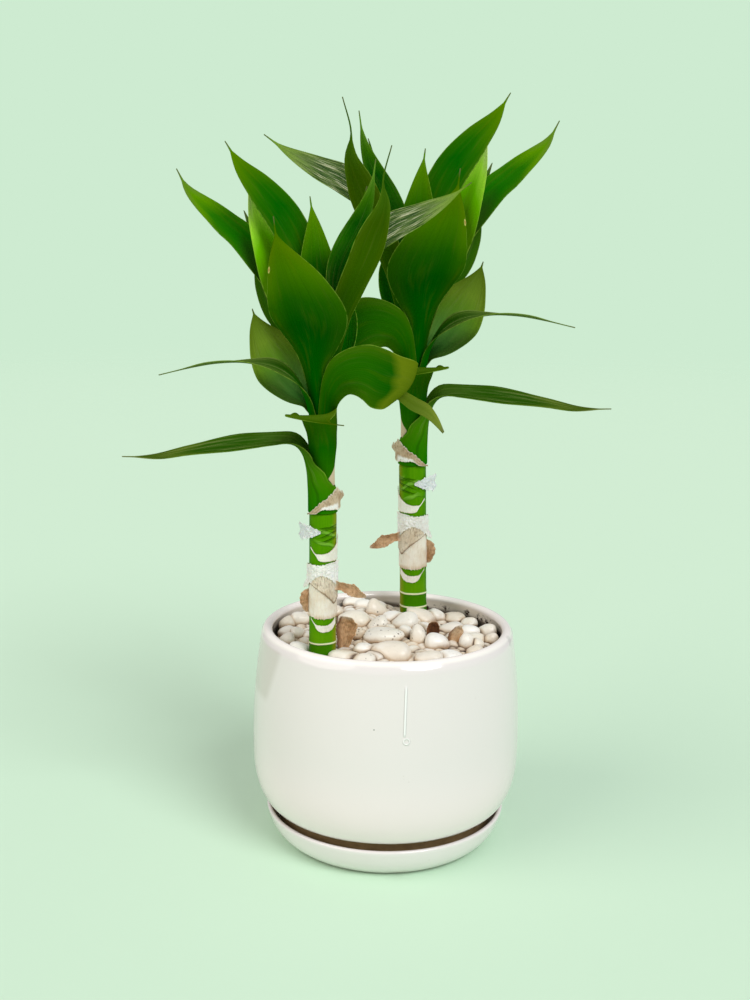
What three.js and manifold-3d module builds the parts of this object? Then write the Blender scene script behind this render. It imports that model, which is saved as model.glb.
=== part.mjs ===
// Lucky bamboo: two green canes with whorls of broad pointed leaves, growing in a round white
// glazed pot on a fitted saucer. The soil is covered with pale pebbles. Millimetres, +Z up.
// The origin is the middle of the saucer's underside, and the front of the plant faces -Y.
import * as THREE from "three";
import { mergeVertices } from "three/addons/utils/BufferGeometryUtils.js";
import Module from "manifold-3d";

const wasm = await Module();
wasm.setup();

// Pot and saucer
const potRadius = 80;
const rimRadius = 74.2;
const rimHeight = 130;
const wall = 6;
const skirtRadius = 72;
const skirtHeight = 24.4;
const footRadius = 64;
const drainRadius = 7;
const saucerRadius = 72;
const saucerHeight = 19.8;
const saucerFoot = 58;
const saucerFloor = 5;
const turnSides = 36;

// Fill of the pot
const soilTop = 116.5;
const bedThickness = 1.8;
const gap = 0.3;
const pebbleCount = 39;
const pebbleSeed = 41;

// The two plants. The right one is the left one's mirror image, a little larger.
const caneRadius = 7.6;
const caneSides = 14;
const plants = [
  { name: "left", at: [-37, -36, 58], size: 1, side: 1, lean: [0, 0, 0] },
  { name: "right", at: [18.6, 46, 59], size: 1.1, side: -1, lean: [2, -1.4, 0] },
];

// Leaf blades
const leafSteps = 9;
const leafStrips = 4;
const midribThickness = 1.0;
const marginThickness = 0.62;
const threadWidth = 0.9;

const finish = {
  glaze: new THREE.MeshStandardMaterial({ name: "white glaze", color: 0xf0efea, roughness: 0.15 }),
  soil: new THREE.MeshStandardMaterial({ name: "potting soil", color: 0x2c2019, roughness: 1 }),
  stone: new THREE.MeshStandardMaterial({ name: "cream stone", color: 0xe2d8c6, roughness: 0.55 }),
  cane: new THREE.MeshStandardMaterial({ name: "green cane", color: 0x4f9a10, roughness: 0.4 }),
  leaf: new THREE.MeshStandardMaterial({ name: "deep green leaf", color: 0x1f5c0c, roughness: 0.35 }),
  husk: new THREE.MeshStandardMaterial({ name: "cream husk", color: 0xe3d7c2, roughness: 0.8 }),
  dry: new THREE.MeshStandardMaterial({ name: "dry brown leaf", color: 0xb58a5c, roughness: 0.85 }),
};

// Seeded draw between 0 and 1, the same on every run
function drawFrom(seed) {
  let state = seed;
  return () => {
    state = (state * 16807) % 2147483647;
    return state / 2147483647;
  };
}

const smooth = (t) => t * t * (3 - 2 * t);
const blend = (a, b, t) => a + (b - a) * t;
const clamp01 = (t) => Math.min(1, Math.max(0, t));
const degrees = Math.PI / 180;

// Solids
function solidFrom(geometry) {
  const bare = geometry.clone();
  for (const extra of ["normal", "uv"]) bare.deleteAttribute(extra);
  const merged = mergeVertices(bare, 1e-3);
  return new wasm.Manifold(
    new wasm.Mesh({
      numProp: 3,
      vertProperties: merged.attributes.position.array,
      triVerts: new Uint32Array(merged.index.array),
    }),
  );
}

function geometryFrom(solid) {
  const mesh = solid.getMesh();
  const geometry = new THREE.BufferGeometry();
  geometry.setAttribute("position", new THREE.BufferAttribute(mesh.vertProperties, 3));
  geometry.setIndex(new THREE.BufferAttribute(mesh.triVerts, 1));
  geometry.computeVertexNormals();
  return geometry;
}

// Drops the crumbs that a cut leaves beside the main body
function largest(solid) {
  const pieces = solid.decompose();
  pieces.sort((a, b) => b.volume() - a.volume());
  return pieces[0];
}

function turned(profile, sides = turnSides) {
  const outline = profile.map(([radius, height]) => new THREE.Vector2(radius, height));
  return new THREE.LatheGeometry(outline, sides).rotateX(Math.PI / 2);
}

function pieceOf(name, geometry, material) {
  const mesh = new THREE.Mesh(geometry, material);
  mesh.name = name;
  return mesh;
}

// Points of an arc about (x, y) in a profile, angles in degrees
function arc(x, y, radius, from, to, steps) {
  return Array.from({ length: steps + 1 }, (_, i) => {
    const angle = blend(from, to, i / steps) * degrees;
    return [x + radius * Math.cos(angle), y + radius * Math.sin(angle)];
  });
}

// Radius of the pot's outside at a height: full at mid height, drawn in to the rim and skirt
function potOutside(height) {
  const belly = 62;
  if (height >= belly) {
    const rise = (height - belly) / (rimHeight - belly);
    return potRadius - (potRadius - rimRadius) * rise ** 2.1;
  }
  const fall = (belly - height) / (belly - skirtHeight);
  return potRadius - (potRadius - skirtRadius) * fall ** 3.4;
}

const potInside = (height) => potOutside(height) - wall;

function pot() {
  const lip = wall / 2;
  const heights = [skirtHeight + 1.6, 33, 44, 62, 84, 106];
  const inner = [soilTop, 62, 31];
  const profile = [
    [drainRadius, 9],
    [footRadius - 8, 9],
    [footRadius - 7, saucerFloor + gap],
    [footRadius, saucerFloor + gap],
    [footRadius + 1, skirtHeight - 0.6],
    [skirtRadius - 1.6, skirtHeight - 0.4],
    [skirtRadius, skirtHeight + 0.4],
    ...heights.map((h) => [potOutside(h), h]),
    ...arc(rimRadius - lip, rimHeight - lip, lip, 0, 180, 5),
    ...inner.map((h) => [potInside(h), h]),
    [footRadius - 2, 20],
    [footRadius - 8, 15],
    [drainRadius, 15],
    [drainRadius, 9],
  ];
  return pieceOf("pot", turned(profile), finish.glaze);
}

function saucer() {
  const profile = [
    [0, 0],
    [saucerFoot, 0],
    [saucerFoot + 3.5, 1.4],
    [66.5, 5.6],
    [69.6, 10.6],
    [71.4, 15.6],
    [saucerRadius, saucerHeight - 0.9],
    [saucerRadius - 1.2, saucerHeight],
    [saucerRadius - 2.6, saucerHeight - 0.8],
    [68.2, 12.6],
    [66.2, 8],
    [65, saucerFloor],
    [0, saucerFloor],
  ];
  return pieceOf("saucer", turned(profile), finish.glaze);
}

// Moves a solid from the plant's own frame to its place in the pot
function planted(solid, { at, size, side, lean }) {
  return solid.scale([side * size, size, size]).rotate(lean).translate(at);
}

// Canes stand in plain blind holes, a little wider than they are
function withCaneHoles(solid) {
  const hole = solidFrom(
    turned([[0, -gap], [caneRadius + gap, -gap], [caneRadius + gap, 90], [0, 90]], caneSides),
  );
  return plants.reduce((left, plant) => left.subtract(planted(hole, plant)), solid);
}

function soil() {
  const profile = [
    [0, 15 + gap],
    [footRadius - 8.4, 15 + gap],
    [footRadius - 2.4, 20.1],
    ...[31, 62, soilTop].map((h) => [potInside(h) - gap - 0.1, h]),
    [0, soilTop],
  ];
  const filled = solidFrom(turned(profile));
  return pieceOf("soil", geometryFrom(withCaneHoles(filled)), finish.soil);
}

// The conspicuous pebbles: x, y, half length, half depth, half height, roll in degrees
const namedPebbles = [
  [-20, 58, 8.5, 7, 5.6, 0],
  [-6, 27, 7, 5.8, 6.5, 10],
  [-20, 6, 9.8, 8, 5.6, 0],
  [-7, -1, 7.8, 6.4, 3.5, -33],
  [4, 16, 6.9, 5.7, 4.1, 0],
  [10, 9, 9.2, 7.6, 5, -20],
  [22, 35, 9.8, 7, 4.8, 32],
  [32, 42, 6.2, 5.1, 4.4, 15],
  [43, 44, 8.2, 6.8, 3.8, 0],
  [39, 12, 8.5, 7, 4.6, -8],
  [52, 36, 5.8, 4.8, 3.7, -15],
  [61, 12, 6.6, 5.4, 5.3, 0],
  [50, 7, 6.3, 5.1, 4.9, 0],
  [46, -18, 4.4, 4.5, 6.2, 10],
  [61, -6, 5.2, 4.2, 3.5, -20],
  [53, -18, 3.8, 4.1, 3.5, 0],
  [18, -16, 4.8, 5, 8.6, 4],
  [29, -23, 7.2, 5.9, 5.8, 0],
  [-2, -15, 12, 8.6, 4.4, 0],
  [2, -40, 11.6, 8.6, 6.2, 0],
  [-13, -36, 6.3, 5.2, 3.7, 0],
  [-17, -13, 4.8, 4.3, 3.8, 0],
  [23, -46, 8.4, 6.9, 3.5, -5],
  [-24, -45, 8.9, 7, 3.5, 0],
  [-13, -50, 6.9, 5.4, 3.5, 0],
  [35, -42, 7.3, 6, 3.5, -8],
  [11, -7, 4.3, 4.3, 3.9, 0],
  [50, -31, 5.4, 4.8, 3.5, -15],
  [-53, 18, 6.7, 5.6, 5.8, 0],
  [-61, 15, 5.4, 4.8, 4.6, -20],
  [-60, -1, 5.4, 4.5, 3.7, -15],
  [-53, -6, 4.1, 4.3, 3.9, 0],
  [-59, -14, 5, 4.5, 3.5, -12],
  [-50, -31, 6.5, 5.4, 3.5, 8],
  [-14, 45, 6.7, 5.8, 4.3, 0],
  [-33, 23, 6.5, 5.4, 4.3, 0],
];

// Top of the pebbles: heaped in the middle, highest at the back left and lowest at the back right
const hump = (x, y, width) => Math.exp(-(x * x + y * y) / width ** 2);
function heap(x, y) {
  const middle = 4.2 * (1 - (x * x + y * y) / 70 ** 2);
  return middle + 5.5 * hump(x + 22, y - 22, 32) - 4 * hump(x - 45, y - 30, 25);
}

function pebblePlaces() {
  const draw = drawFrom(pebbleSeed);
  const places = namedPebbles.map(([x, y, long, wide, high, roll]) => ({
    x,
    y,
    long,
    wide,
    high,
    roll,
    turn: 0,
    lean: 14 * (draw() - 0.5),
    lift: 1.2,
    sides: long > 8 ? 7 : 6,
  }));
  for (let tries = 0; places.length < pebbleCount && tries < 6000; tries += 1) {
    const reach = 61.5 * Math.sqrt(draw());
    const bearing = 2 * Math.PI * draw();
    const long = 5.4 + 3.6 * draw();
    const wide = long * (0.66 + 0.24 * draw());
    const spot = {
      x: reach * Math.cos(bearing),
      y: reach * Math.sin(bearing),
      long,
      wide,
      turn: 180 * draw(),
      high: wide * (0.62 + 0.2 * draw()),
      lean: 36 * (draw() - 0.5),
      roll: 0,
      lift: -1.6 + 2 * draw(),
      sides: 6,
    };
    const apart = (other) => Math.hypot(spot.x - other.x, spot.y - other.y);
    const crowded = places.some((other) => apart(other) < 0.62 * (spot.wide + other.wide));
    const onCane = plants.some(
      ({ at, size }) => Math.hypot(spot.x - at[0], spot.y - at[1]) < caneRadius * size + 0.55 * wide,
    );
    if (!crowded && !onCane) places.push(spot);
  }
  return places;
}

function pebbleSolid({ x, y, long, wide, high, turn, roll, lean, lift, sides }) {
  const stone = new THREE.SphereGeometry(1, sides, sides - 2).rotateX(Math.PI / 2).scale(long, wide, high);
  stone.rotateX(lean * degrees).rotateY(roll * degrees).rotateZ(turn * degrees);
  return solidFrom(stone.translate(x, y, soilTop + 4 + heap(x, y) + lift));
}

function pebbleBed() {
  const bottom = soilTop + gap;
  const top = bottom + bedThickness;
  const edge = rimRadius - wall - gap - 0.3;
  const mound = turned([[0, bottom], [edge, bottom], [edge, top], [0.55 * edge, top], [0, top]]);
  const spots = mound.attributes.position;
  for (let i = 0; i < spots.count; i += 1) {
    if (spots.getZ(i) > bottom + 1) spots.setZ(i, top + heap(spots.getX(i), spots.getY(i)));
  }
  const heaped = wasm.Manifold.union([solidFrom(mound), ...pebblePlaces().map(pebbleSolid)]);
  const inside = turned([[0, bottom], [edge, bottom], [edge, rimHeight + 20], [0, rimHeight + 20]]);
  const trimmed = heaped.intersect(solidFrom(inside));
  return withCaneHoles(trimmed);
}

// A plant's own frame has its origin at the cane's cut lower end. Sizes there are the left plant's.
const caneTop = 264;
const sheathFoot = 147;
const sheathTop = 199;
const shootRadius = 5.3;
const nodeHeights = [64, 72];
const nodeRidge = 0.2;

// The cane has a low ridge at each node. Where the leaf sheaths wrap it the shoot is slimmer, and it
// draws in through the crown.
function cane() {
  const rings = nodeHeights.flatMap((h) => [
    [caneRadius, h - 2],
    [caneRadius + nodeRidge, h],
    [caneRadius, h + 2],
  ]);
  const profile = [
    [0, 0],
    [caneRadius, 0],
    ...rings,
    [caneRadius, sheathFoot - 1],
    [shootRadius, sheathFoot + 1],
    [shootRadius, sheathTop],
    [2.5, 246],
    [1.4, caneTop],
    [0, caneTop],
  ];
  return turned(profile, caneSides);
}

// Each leaf: the points its midrib runs through, from where it clasps the shoot to its tip; the half
// width of its blade; how far round the shoot it clasps, at its foot and where it leaves (degrees),
// and the share of its length spent doing so; how deeply the blade is channelled and how it turns
// about its midrib from foot to tip (degrees); and the shares of its length at which it begins to
// widen, is widest, and ends in a thread.
const leaves = {
  low_long: {
    midrib: [[-8, -1, 147], [-8.2, -1.4, 160], [-9.2, -2, 172], [-11.5, -3, 180], [-16, -5, 185.5],
      [-24, -6, 187], [-38, -8, 186], [-54, -9, 184], [-72, -10, 181], [-89, -10, 178], [-109, -8, 177.5]],
    half: 12, clasp: [168, 162, 100, 55], hold: 0.22, channel: 12, turn: [0, -3, -5, -2], neck: 0.22,
    widest: 0.5, thread: 0.97, steps: 10, strips: 8,
  },
  front_short: {
    midrib: [[-0.5, -6.2, 162], [-0.7, -6.3, 172], [-0.9, -7.4, 182], [-1.5, -8.4, 191], [-3, -13, 199.5],
      [-5, -24, 203], [-5, -38, 203.6], [-1, -50, 203.4], [6, -58, 203], [13, -60, 202.5]],
    half: 13, clasp: [164, 166, 140, 75], hold: 0.34, channel: 8, turn: [0, 0, -8, -10], neck: 0.42,
    widest: 0.64, thread: 0.95, steps: 10, strips: 8,
  },
  left_thin: {
    midrib: [[-7.2, -2.2, 200], [-10, -4, 211], [-16, -7, 221], [-26, -10, 227.5], [-39, -12, 229.5],
      [-57, -12, 229], [-72, -10, 226], [-88, -8, 222]],
    half: 10, clasp: [45, 40], hold: 0.06, channel: 12, turn: [0, 8, 8, 2], neck: 0.08, widest: 0.36,
    thread: 0.97,
  },
  right_arch: {
    edges: [[-2.5, -7, 201, 6.2, -7.4, 201.5], [-1.5, -9.5, 211, 7.5, -10, 205],
      [0.5, -14, 222.5, 9.5, -15, 209.5], [5, -17, 232, 14, -21, 214], [14, -19, 238, 18.5, -27, 214],
      [25, -21, 240.2, 22, -30, 212], [33, -21, 238.1, 26, -31, 208.5], [41, -20, 234.5, 32, -30, 207.5],
      [50.2, -19, 230.9, 36.5, -27.5, 210], [49, -17, 227, 39, -24, 212], [42, -15, 218, 40, -19, 211.5],
      [49.4, -14.5, 212.5, 46.8, -16.5, 206], [57, -15, 208.4, 55, -16.5, 202],
      [61.5, -16, 202.5, 60.9, -17, 197.2], [65.2, -18, 194.5, 64.4, -18.2, 193.6]],
    bow: -0.12, steps: 16,
  },
  left_broad: {
    midrib: [[-2.8, 6.8, 200.5], [-7, 9.5, 207], [-16, 12, 215], [-25, 15.5, 227], [-32, 17, 238],
      [-37, 18, 247], [-40.5, 19, 257]],
    half: 16.5, clasp: [42, 40], hold: 0.06, channel: 12, turn: [0, 0, 0], neck: 0.08, widest: 0.48,
    thread: 0.97,
  },
  front_big: {
    midrib: [[-2.4, -5.9, 200], [-3.4, -7.8, 212], [-5, -11, 226], [-5.8, -17, 240], [-8.5, -24, 253],
      [-13, -30, 266], [-18.5, -34, 281], [-22, -37, 293], [-23.5, -38, 304]],
    half: 23, clasp: [55, 45], hold: 0.08, channel: 20, turn: [0, 0, 0], neck: 0.2, widest: 0.52,
    thread: 0.93,
  },
  spear_front: {
    midrib: [[4.4, -3.8, 213], [6, -6.4, 230], [9, -9.5, 252], [16, -14, 270], [22, -18, 283],
      [27.5, -21, 298], [31.5, -23, 311], [31, -25, 324], [35, -26, 340]],
    half: 9.4, clasp: [55, 45], hold: 0.1, channel: 20, turn: [0, -20, -20], neck: 0.12, widest: 0.6,
    thread: 0.86,
  },
  left_far: {
    midrib: [[-3.4, 5.4, 208], [-6, 9.5, 221], [-12, 15.5, 239], [-20, 21, 256], [-27, 25, 269],
      [-36, 28, 281.5], [-47.5, 30, 296], [-55.5, 31, 302.3], [-63, 31, 308.8], [-71, 31, 315.4],
      [-77, 31, 321.5], [-83, 31, 332.4]],
    half: 9.9, clasp: [50, 42], hold: 0.08, channel: 14, turn: [0, 0, 0], neck: 0.3, widest: 0.62,
    thread: 0.97,
  },
  left_pale: {
    midrib: [[-2.4, 4.6, 214], [-5.2, 8.8, 230], [-14, 14, 248], [-24, 19, 270], [-32, 22, 290],
      [-38.5, 23, 307], [-43, 23, 325]],
    half: 12, clasp: [50, 42], hold: 0.08, channel: 14, turn: [0, 0, 0], neck: 0.03, widest: 0.42,
    thread: 0.96,
  },
  back_left: {
    edges: [[-1, 6.4, 206, 2.2, 6.2, 206], [-1, 9, 211, 3, 9.4, 211],
      [-2.5, 13, 216, 3, 13.4, 216], [-5, 18, 222, 1, 18, 222], [-9.5, 23.5, 228, -1.5, 22.5, 230],
      [-22, 28, 238.5, -6, 28, 246], [-34, 30.5, 251.5, -13, 32, 262],
      [-40, 33, 267.5, -20, 34.5, 275], [-41, 35, 280, -29, 36, 288], [-42.5, 36, 293, -39, 37, 299],
      [-47, 37.5, 311, -46.4, 37.5, 310.6]],
    bow: -0.05, steps: 10,
  },
  back_high: {
    midrib: [[-0.9, 5.3, 222], [-3, 8.4, 239], [-6.5, 11.5, 262], [-11.5, 13.5, 284], [-22, 15.5, 305],
      [-35, 17, 321], [-46, 18, 333], [-54.5, 19, 346]],
    half: 10, clasp: [42, 38], hold: 0.08, channel: 14, turn: [0, 0, 0], neck: 0.1, widest: 0.58,
    thread: 0.97,
  },
  right_streaked: {
    midrib: [[3.3, 3.2, 231], [4.8, 5, 243], [11, 8.4, 270], [22, 10.4, 291], [35, 10, 301],
      [50, 9.5, 308], [66, 7.5, 316.5], [78, 5, 325]],
    half: 8.4, clasp: [42, 38], hold: 0.08, channel: 8, turn: [0, 30, 30], neck: 0.1, widest: 0.6,
    thread: 0.96,
  },
  back_mid: {
    midrib: [[-0.6, 4, 239], [-1.8, 5, 252], [-3, 6.8, 269], [-4.6, 7.8, 287], [-6, 8.2, 302],
      [-8, 8.2, 317]],
    half: 11.5, clasp: [42, 38], hold: 0.08, channel: 18, turn: [0, 0, 0], neck: 0.1, widest: 0.36,
    thread: 0.95,
  },
  spear_back: {
    midrib: [[4.1, -1.2, 240], [5, -2, 258], [7.5, -3, 276], [13.5, -4.5, 291], [20, -6, 304],
      [24.5, -7.5, 317], [27, -9, 335]],
    half: 8.5, clasp: [42, 38], hold: 0.08, channel: 30, turn: [0, -35, -35], neck: 0.1, widest: 0.5,
    thread: 0.94,
  },
  heart: {
    midrib: [[1.5, 2.9, 250], [2.4, 3.4, 264], [5.8, 3.2, 281], [11.6, 2.6, 296], [18.3, 1.9, 309],
      [22.5, 1.2, 322]],
    half: 4.4, clasp: [42, 38], hold: 0.08, channel: 30, turn: [0, 0, 0], neck: 0.1, widest: 0.5,
    thread: 0.95,
  },
  back_low: {
    midrib: [[4.9, 4.1, 214], [8, 9, 222], [10.5, 16, 234], [12, 24, 246], [13, 30, 257], [14, 34, 268]],
    half: 11.5, clasp: [30, 30], hold: 0.08, channel: 14, turn: [0, 0, 0], neck: 0.1, widest: 0.5,
    thread: 0.96,
  },
};

// Value of a short list of settings at a share of the way along it
function along(list, t) {
  const place = t * (list.length - 1);
  const i = Math.min(list.length - 2, Math.floor(place));
  return blend(list[i], list[i + 1], smooth(place - i));
}

// Half angle of the section's arc at a share of the length: wrapped round the shoot, then opened out
function leafCurl(leaf, t) {
  if (t < leaf.hold) return along(leaf.clasp, t / leaf.hold) * degrees;
  const open = smooth(clamp01((t - leaf.hold) / 0.18));
  return blend(leaf.clasp.at(-1), leaf.channel, open) * degrees;
}

// Half width at a share of the length: round the shoot, widening past the neck, then drawn to a thread
function leafHalfWidth(leaf, t, radius) {
  if (t < leaf.hold) return radius * leafCurl(leaf, t);
  const held = radius * leaf.clasp.at(-1) * degrees;
  if (t < leaf.widest) {
    const rise = clamp01((t - leaf.neck) / (leaf.widest - leaf.neck));
    return blend(held, leaf.half, smooth(rise));
  }
  const fall = clamp01((t - leaf.widest) / (leaf.thread - leaf.widest));
  return Math.max(threadWidth / 2, leaf.half * (1 - fall ** (1.7)) ** 1.15);
}

function midribOf(leaf) {
  const points = leaf.midrib.map((p) => new THREE.Vector3(...p));
  return new THREE.CatmullRomCurve3(points, false, "centripetal");
}

// Shares of a curve's length, closer together where it bends
function stations(route, steps) {
  const fine = 120;
  const headings = Array.from({ length: fine + 1 }, (_, i) => route.getTangentAt(i / fine));
  const travelled = [0];
  for (let i = 1; i <= fine; i += 1) {
    travelled.push(travelled[i - 1] + 1 / fine + 0.3 * headings[i].angleTo(headings[i - 1]));
  }
  return Array.from({ length: steps + 1 }, (_, k) => {
    const goal = (travelled[fine] * k) / steps;
    const i = Math.max(1, travelled.findIndex((reached) => reached >= goal - 1e-9));
    return clamp01((i - 1 + (goal - travelled[i - 1]) / (travelled[i] - travelled[i - 1])) / fine);
  });
}

// Side and face directions carried along the midrib without spin, starting square to the shoot
function leafFrames(leaf, route, steps) {
  let face = route.points[0].clone().setZ(0).negate();
  return stations(route, steps).map((t) => {
    const heading = route.getTangentAt(t);
    face = face.clone().addScaledVector(heading, -face.dot(heading)).normalize();
    const turnedFace = face.clone().applyAxisAngle(heading, along(leaf.turn, t) * degrees);
    const across = new THREE.Vector3().crossVectors(turnedFace, heading).normalize();
    return { t, point: route.getPointAt(t), face: turnedFace, across };
  });
}

// Grid of points on the middle surface of a leaf, with the direction of its upper face at each
function leafSurface(leaf, steps, strips) {
  const route = midribOf(leaf);
  const distance = ({ x, y }) => Math.hypot(x, y);
  const held = distance(route.getPointAt(leaf.hold));
  return leafFrames(leaf, route, steps).map(({ t, point, face, across }) => {
    const half = leafHalfWidth(leaf, t, t < leaf.hold ? distance(point) : held);
    const curl = leafCurl(leaf, t);
    return Array.from({ length: strips + 1 }, (_, j) => {
      const s = (2 * j) / strips - 1;
      const sideways = (half * Math.sin(s * curl)) / curl;
      const rise = (half * (1 - Math.cos(s * curl))) / curl;
      const place = point.clone().addScaledVector(across, sideways).addScaledVector(face, rise);
      const normal = face
        .clone()
        .multiplyScalar(Math.cos(s * curl))
        .addScaledVector(across, -Math.sin(s * curl));
      return { place, normal, s };
    });
  });
}

// The same for a leaf that is given by pairs of points on its two margins, bowed to one side
function edgedSurface({ edges, bow }, steps, strips) {
  const margins = [0, 3].map((from) => {
    const points = edges.map((pair) => new THREE.Vector3(...pair.slice(from, from + 3)));
    return new THREE.CatmullRomCurve3(points);
  });
  const rows = Array.from({ length: steps + 1 }, (_, i) => {
    const [upper, lower] = margins.map((margin) => margin.getPoint(i / steps));
    const span = lower.clone().sub(upper);
    const way = margins[0].getTangent(i / steps).add(margins[1].getTangent(i / steps));
    const face = way.cross(span).normalize();
    return Array.from({ length: strips + 1 }, (_, j) => {
      const s = (2 * j) / strips - 1;
      const place = upper.clone().lerp(lower, j / strips);
      return { place: place.addScaledVector(face, bow * span.length() * (1 - s * s)), s };
    });
  });
  const at = (i, j) => rows[Math.min(Math.max(i, 0), steps)][Math.min(Math.max(j, 0), strips)].place;
  return rows.map((row, i) =>
    row.map((spot, j) => {
      const along = at(i + 1, j).clone().sub(at(i - 1, j));
      const across = at(i, j + 1).clone().sub(at(i, j - 1));
      return { ...spot, normal: along.cross(across).normalize() };
    }),
  );
}

// Closed shell between two offset copies of a grid of points on its middle surface
function shellGeometry(rows, thicknessAt) {
  const points = [];
  for (const side of [1, -1]) {
    for (const { place, normal, s } of rows.flat()) {
      points.push(...place.clone().addScaledVector(normal, (side * thicknessAt(s)) / 2).toArray());
    }
  }
  const steps = rows.length - 1;
  const strips = rows[0].length - 1;
  const across = strips + 1;
  const under = across * (steps + 1);
  const faces = [];
  const quad = (a, b, c, d) => faces.push(a, b, c, a, c, d);
  for (let i = 0; i < steps; i += 1) {
    for (let j = 0; j < strips; j += 1) {
      const a = i * across + j;
      quad(a, a + across, a + across + 1, a + 1);
      quad(under + a, under + a + 1, under + a + across + 1, under + a + across);
    }
    const low = i * across;
    const high = low + strips;
    quad(low, under + low, under + low + across, low + across);
    quad(high, high + across, under + high + across, under + high);
  }
  for (let j = 0; j < strips; j += 1) {
    const end = steps * across + j;
    quad(j, j + 1, under + j + 1, under + j);
    quad(end, under + end, under + end + 1, end + 1);
  }
  const geometry = new THREE.BufferGeometry();
  geometry.setAttribute("position", new THREE.Float32BufferAttribute(points, 3));
  geometry.setIndex(faces);
  return geometry;
}

function leafSolid(leaf) {
  const steps = leaf.steps ?? leafSteps;
  const strips = leaf.strips ?? leafStrips;
  const rows = (leaf.edges ? edgedSurface : leafSurface)(leaf, steps, strips);
  return solidFrom(shellGeometry(rows, (s) => blend(midribThickness, marginThickness, s * s)));
}

// Dry husks left on the cane: at bearings round it (0 is the front, 90 the plant's right), the
// heights of the lower and upper edge, and how far each edge stands off beyond its seat.
const husks = {
  upper: {
    seat: 9.5,
    edges: [[-70, 145.6, 146.4, 0, 0], [-48, 146.4, 147.6, 0, 0], [-22, 147.1, 151, 0, 0.1],
      [-1, 149.3, 154, 0.2, 0], [20, 149.4, 156.1, 0.3, 0], [43, 149.2, 159.6, 0.3, 0],
      [64, 149.1, 161, 0.3, 0], [78, 149, 159, 0.3, 1.2], [95, 149.5, 156.5, 0.4, 2.4],
      [115, 150, 155, 0.3, 0.8]],
  },
  curl: {
    seat: 8.4,
    edges: [[-118, 133.5, 138.5, 6, 6.5], [-100, 131, 140.5, 4.6, 5.4], [-80, 131.5, 140, 2, 2.6],
      [-50, 133, 139.4, 0.3, 0.6], [-25, 134.6, 138.3, 0, 0.2], [-6, 136, 137.2, 0, 0]],
  },
  crescent: {
    seat: 8.4,
    edges: [[-55, 127, 127.8, 0, 0], [-27, 123.2, 124.2, 0, 0], [-14, 120.6, 124.2, 0, 0.1],
      [10, 119.9, 124.4, 0, 0.2], [32, 120, 125.6, 0, 0.2], [50, 120, 127.2, 0, 0.2],
      [78, 120.4, 130.6, 0, 0.3], [100, 121, 134, 0, 0.2]],
  },
  collar: {
    seat: 8.15,
    edges: [[-165, 88, 114, 0, 0.3], [-130, 87.5, 116, 0, 0.4], [-90, 87, 116.7, 0, 1.2],
      [-53, 87.6, 118, 0, 0.7], [-15, 87, 117.7, 0, 0.3], [15, 86.8, 118.3, 0, 0.2],
      [44, 87.2, 119.3, 0, 0.2], [83, 87.8, 119.5, 0, 0.3], [130, 88, 116, 0, 0.4], [165, 88, 114, 0, 0.3]],
  },
  foot: {
    seat: 8.3,
    edges: [[-52, 85, 85.8, 0, 0], [-28, 82.2, 83.2, 0, 0], [-14, 79.7, 83.6, 0, 0],
      [16, 79.5, 83.9, 0, 0.1], [36, 79.5, 84.6, 0, 0.2], [52, 79.5, 85.6, 0, 0.2], [75, 80, 86, 0, 0]],
  },
};
const huskThickness = 0.7;
const huskWaist = 0.45;
const huskChord = 25;

// Two torn flaps hang from the collar, one spreading right and one at its left
const flaps = [
  {
    edges: [[7, -4.2, 108.4, 7, -4.2, 103.2], [13.2, -5, 107, 11.6, -5, 102.7],
      [17.7, -6, 106.5, 15, -6, 100.1], [21.1, -6.5, 103.8, 18.9, -6.5, 99.4],
      [24.7, -6, 100.2, 24.2, -6, 99.1]],
    bow: 0.14, steps: 5, strips: 3,
  },
  {
    edges: [[-9.3, -2.3, 102.7, -7.9, -2, 103.3], [-12.1, -2.8, 100.4, -7.9, -2, 101],
      [-12.4, -3, 96.3, -7.9, -2, 96.4], [-11.5, -2.8, 92.8, -7.9, -2, 92.3],
      [-9.8, -2.3, 89.9, -7.9, -2, 89.3]],
    bow: 0.16, steps: 4, strips: 3,
  },
];

// Grid of points on a husk's middle surface: bottom, waist and top at each bearing, and halfway
// between two bearings that are far apart
function huskSurface({ seat, edges }) {
  const halfway = (a, b) => a.map((value, i) => (value + b[i]) / 2);
  const columns = edges.flatMap((edge, i) => {
    const before = edges[i - 1];
    return before && edge[0] - before[0] > huskChord ? [halfway(before, edge), edge] : [edge];
  });
  return columns.map(([bearing, low, high, lowOff, highOff]) => {
    const angle = bearing * degrees;
    const normal = new THREE.Vector3(Math.sin(angle), -Math.cos(angle), 0);
    const spot = (reach, height) => ({ place: normal.clone().multiplyScalar(reach).setZ(height), normal });
    const waist = blend(low, high, huskWaist);
    const waistOff = Math.min(lowOff, highOff);
    return [spot(seat + lowOff, low), spot(seat + waistOff, waist), spot(seat + highOff, high)];
  });
}

const huskSolid = (husk) => solidFrom(shellGeometry(huskSurface(husk), () => huskThickness));

function collarSolid() {
  const band = huskSolid(husks.collar);
  return flaps.reduce((whole, flap) => whole.add(leafSolid(flap)), band);
}

function plantPieces(plant) {
  const group = new THREE.Group();
  const add = (name, solid, material) =>
    group.add(pieceOf(`${plant.name}_${name}`, geometryFrom(planted(solid, plant)), material));
  add("cane", solidFrom(cane()), finish.cane);
  for (const [name, leaf] of Object.entries(leaves)) {
    add(`leaf_${name}`, leafSolid(leaf), finish.leaf);
  }
  for (const [name, husk] of Object.entries(husks)) {
    add(`husk_${name}`, name === "collar" ? collarSolid() : huskSolid(husk), finish.husk);
  }
  return group;
}

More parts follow.
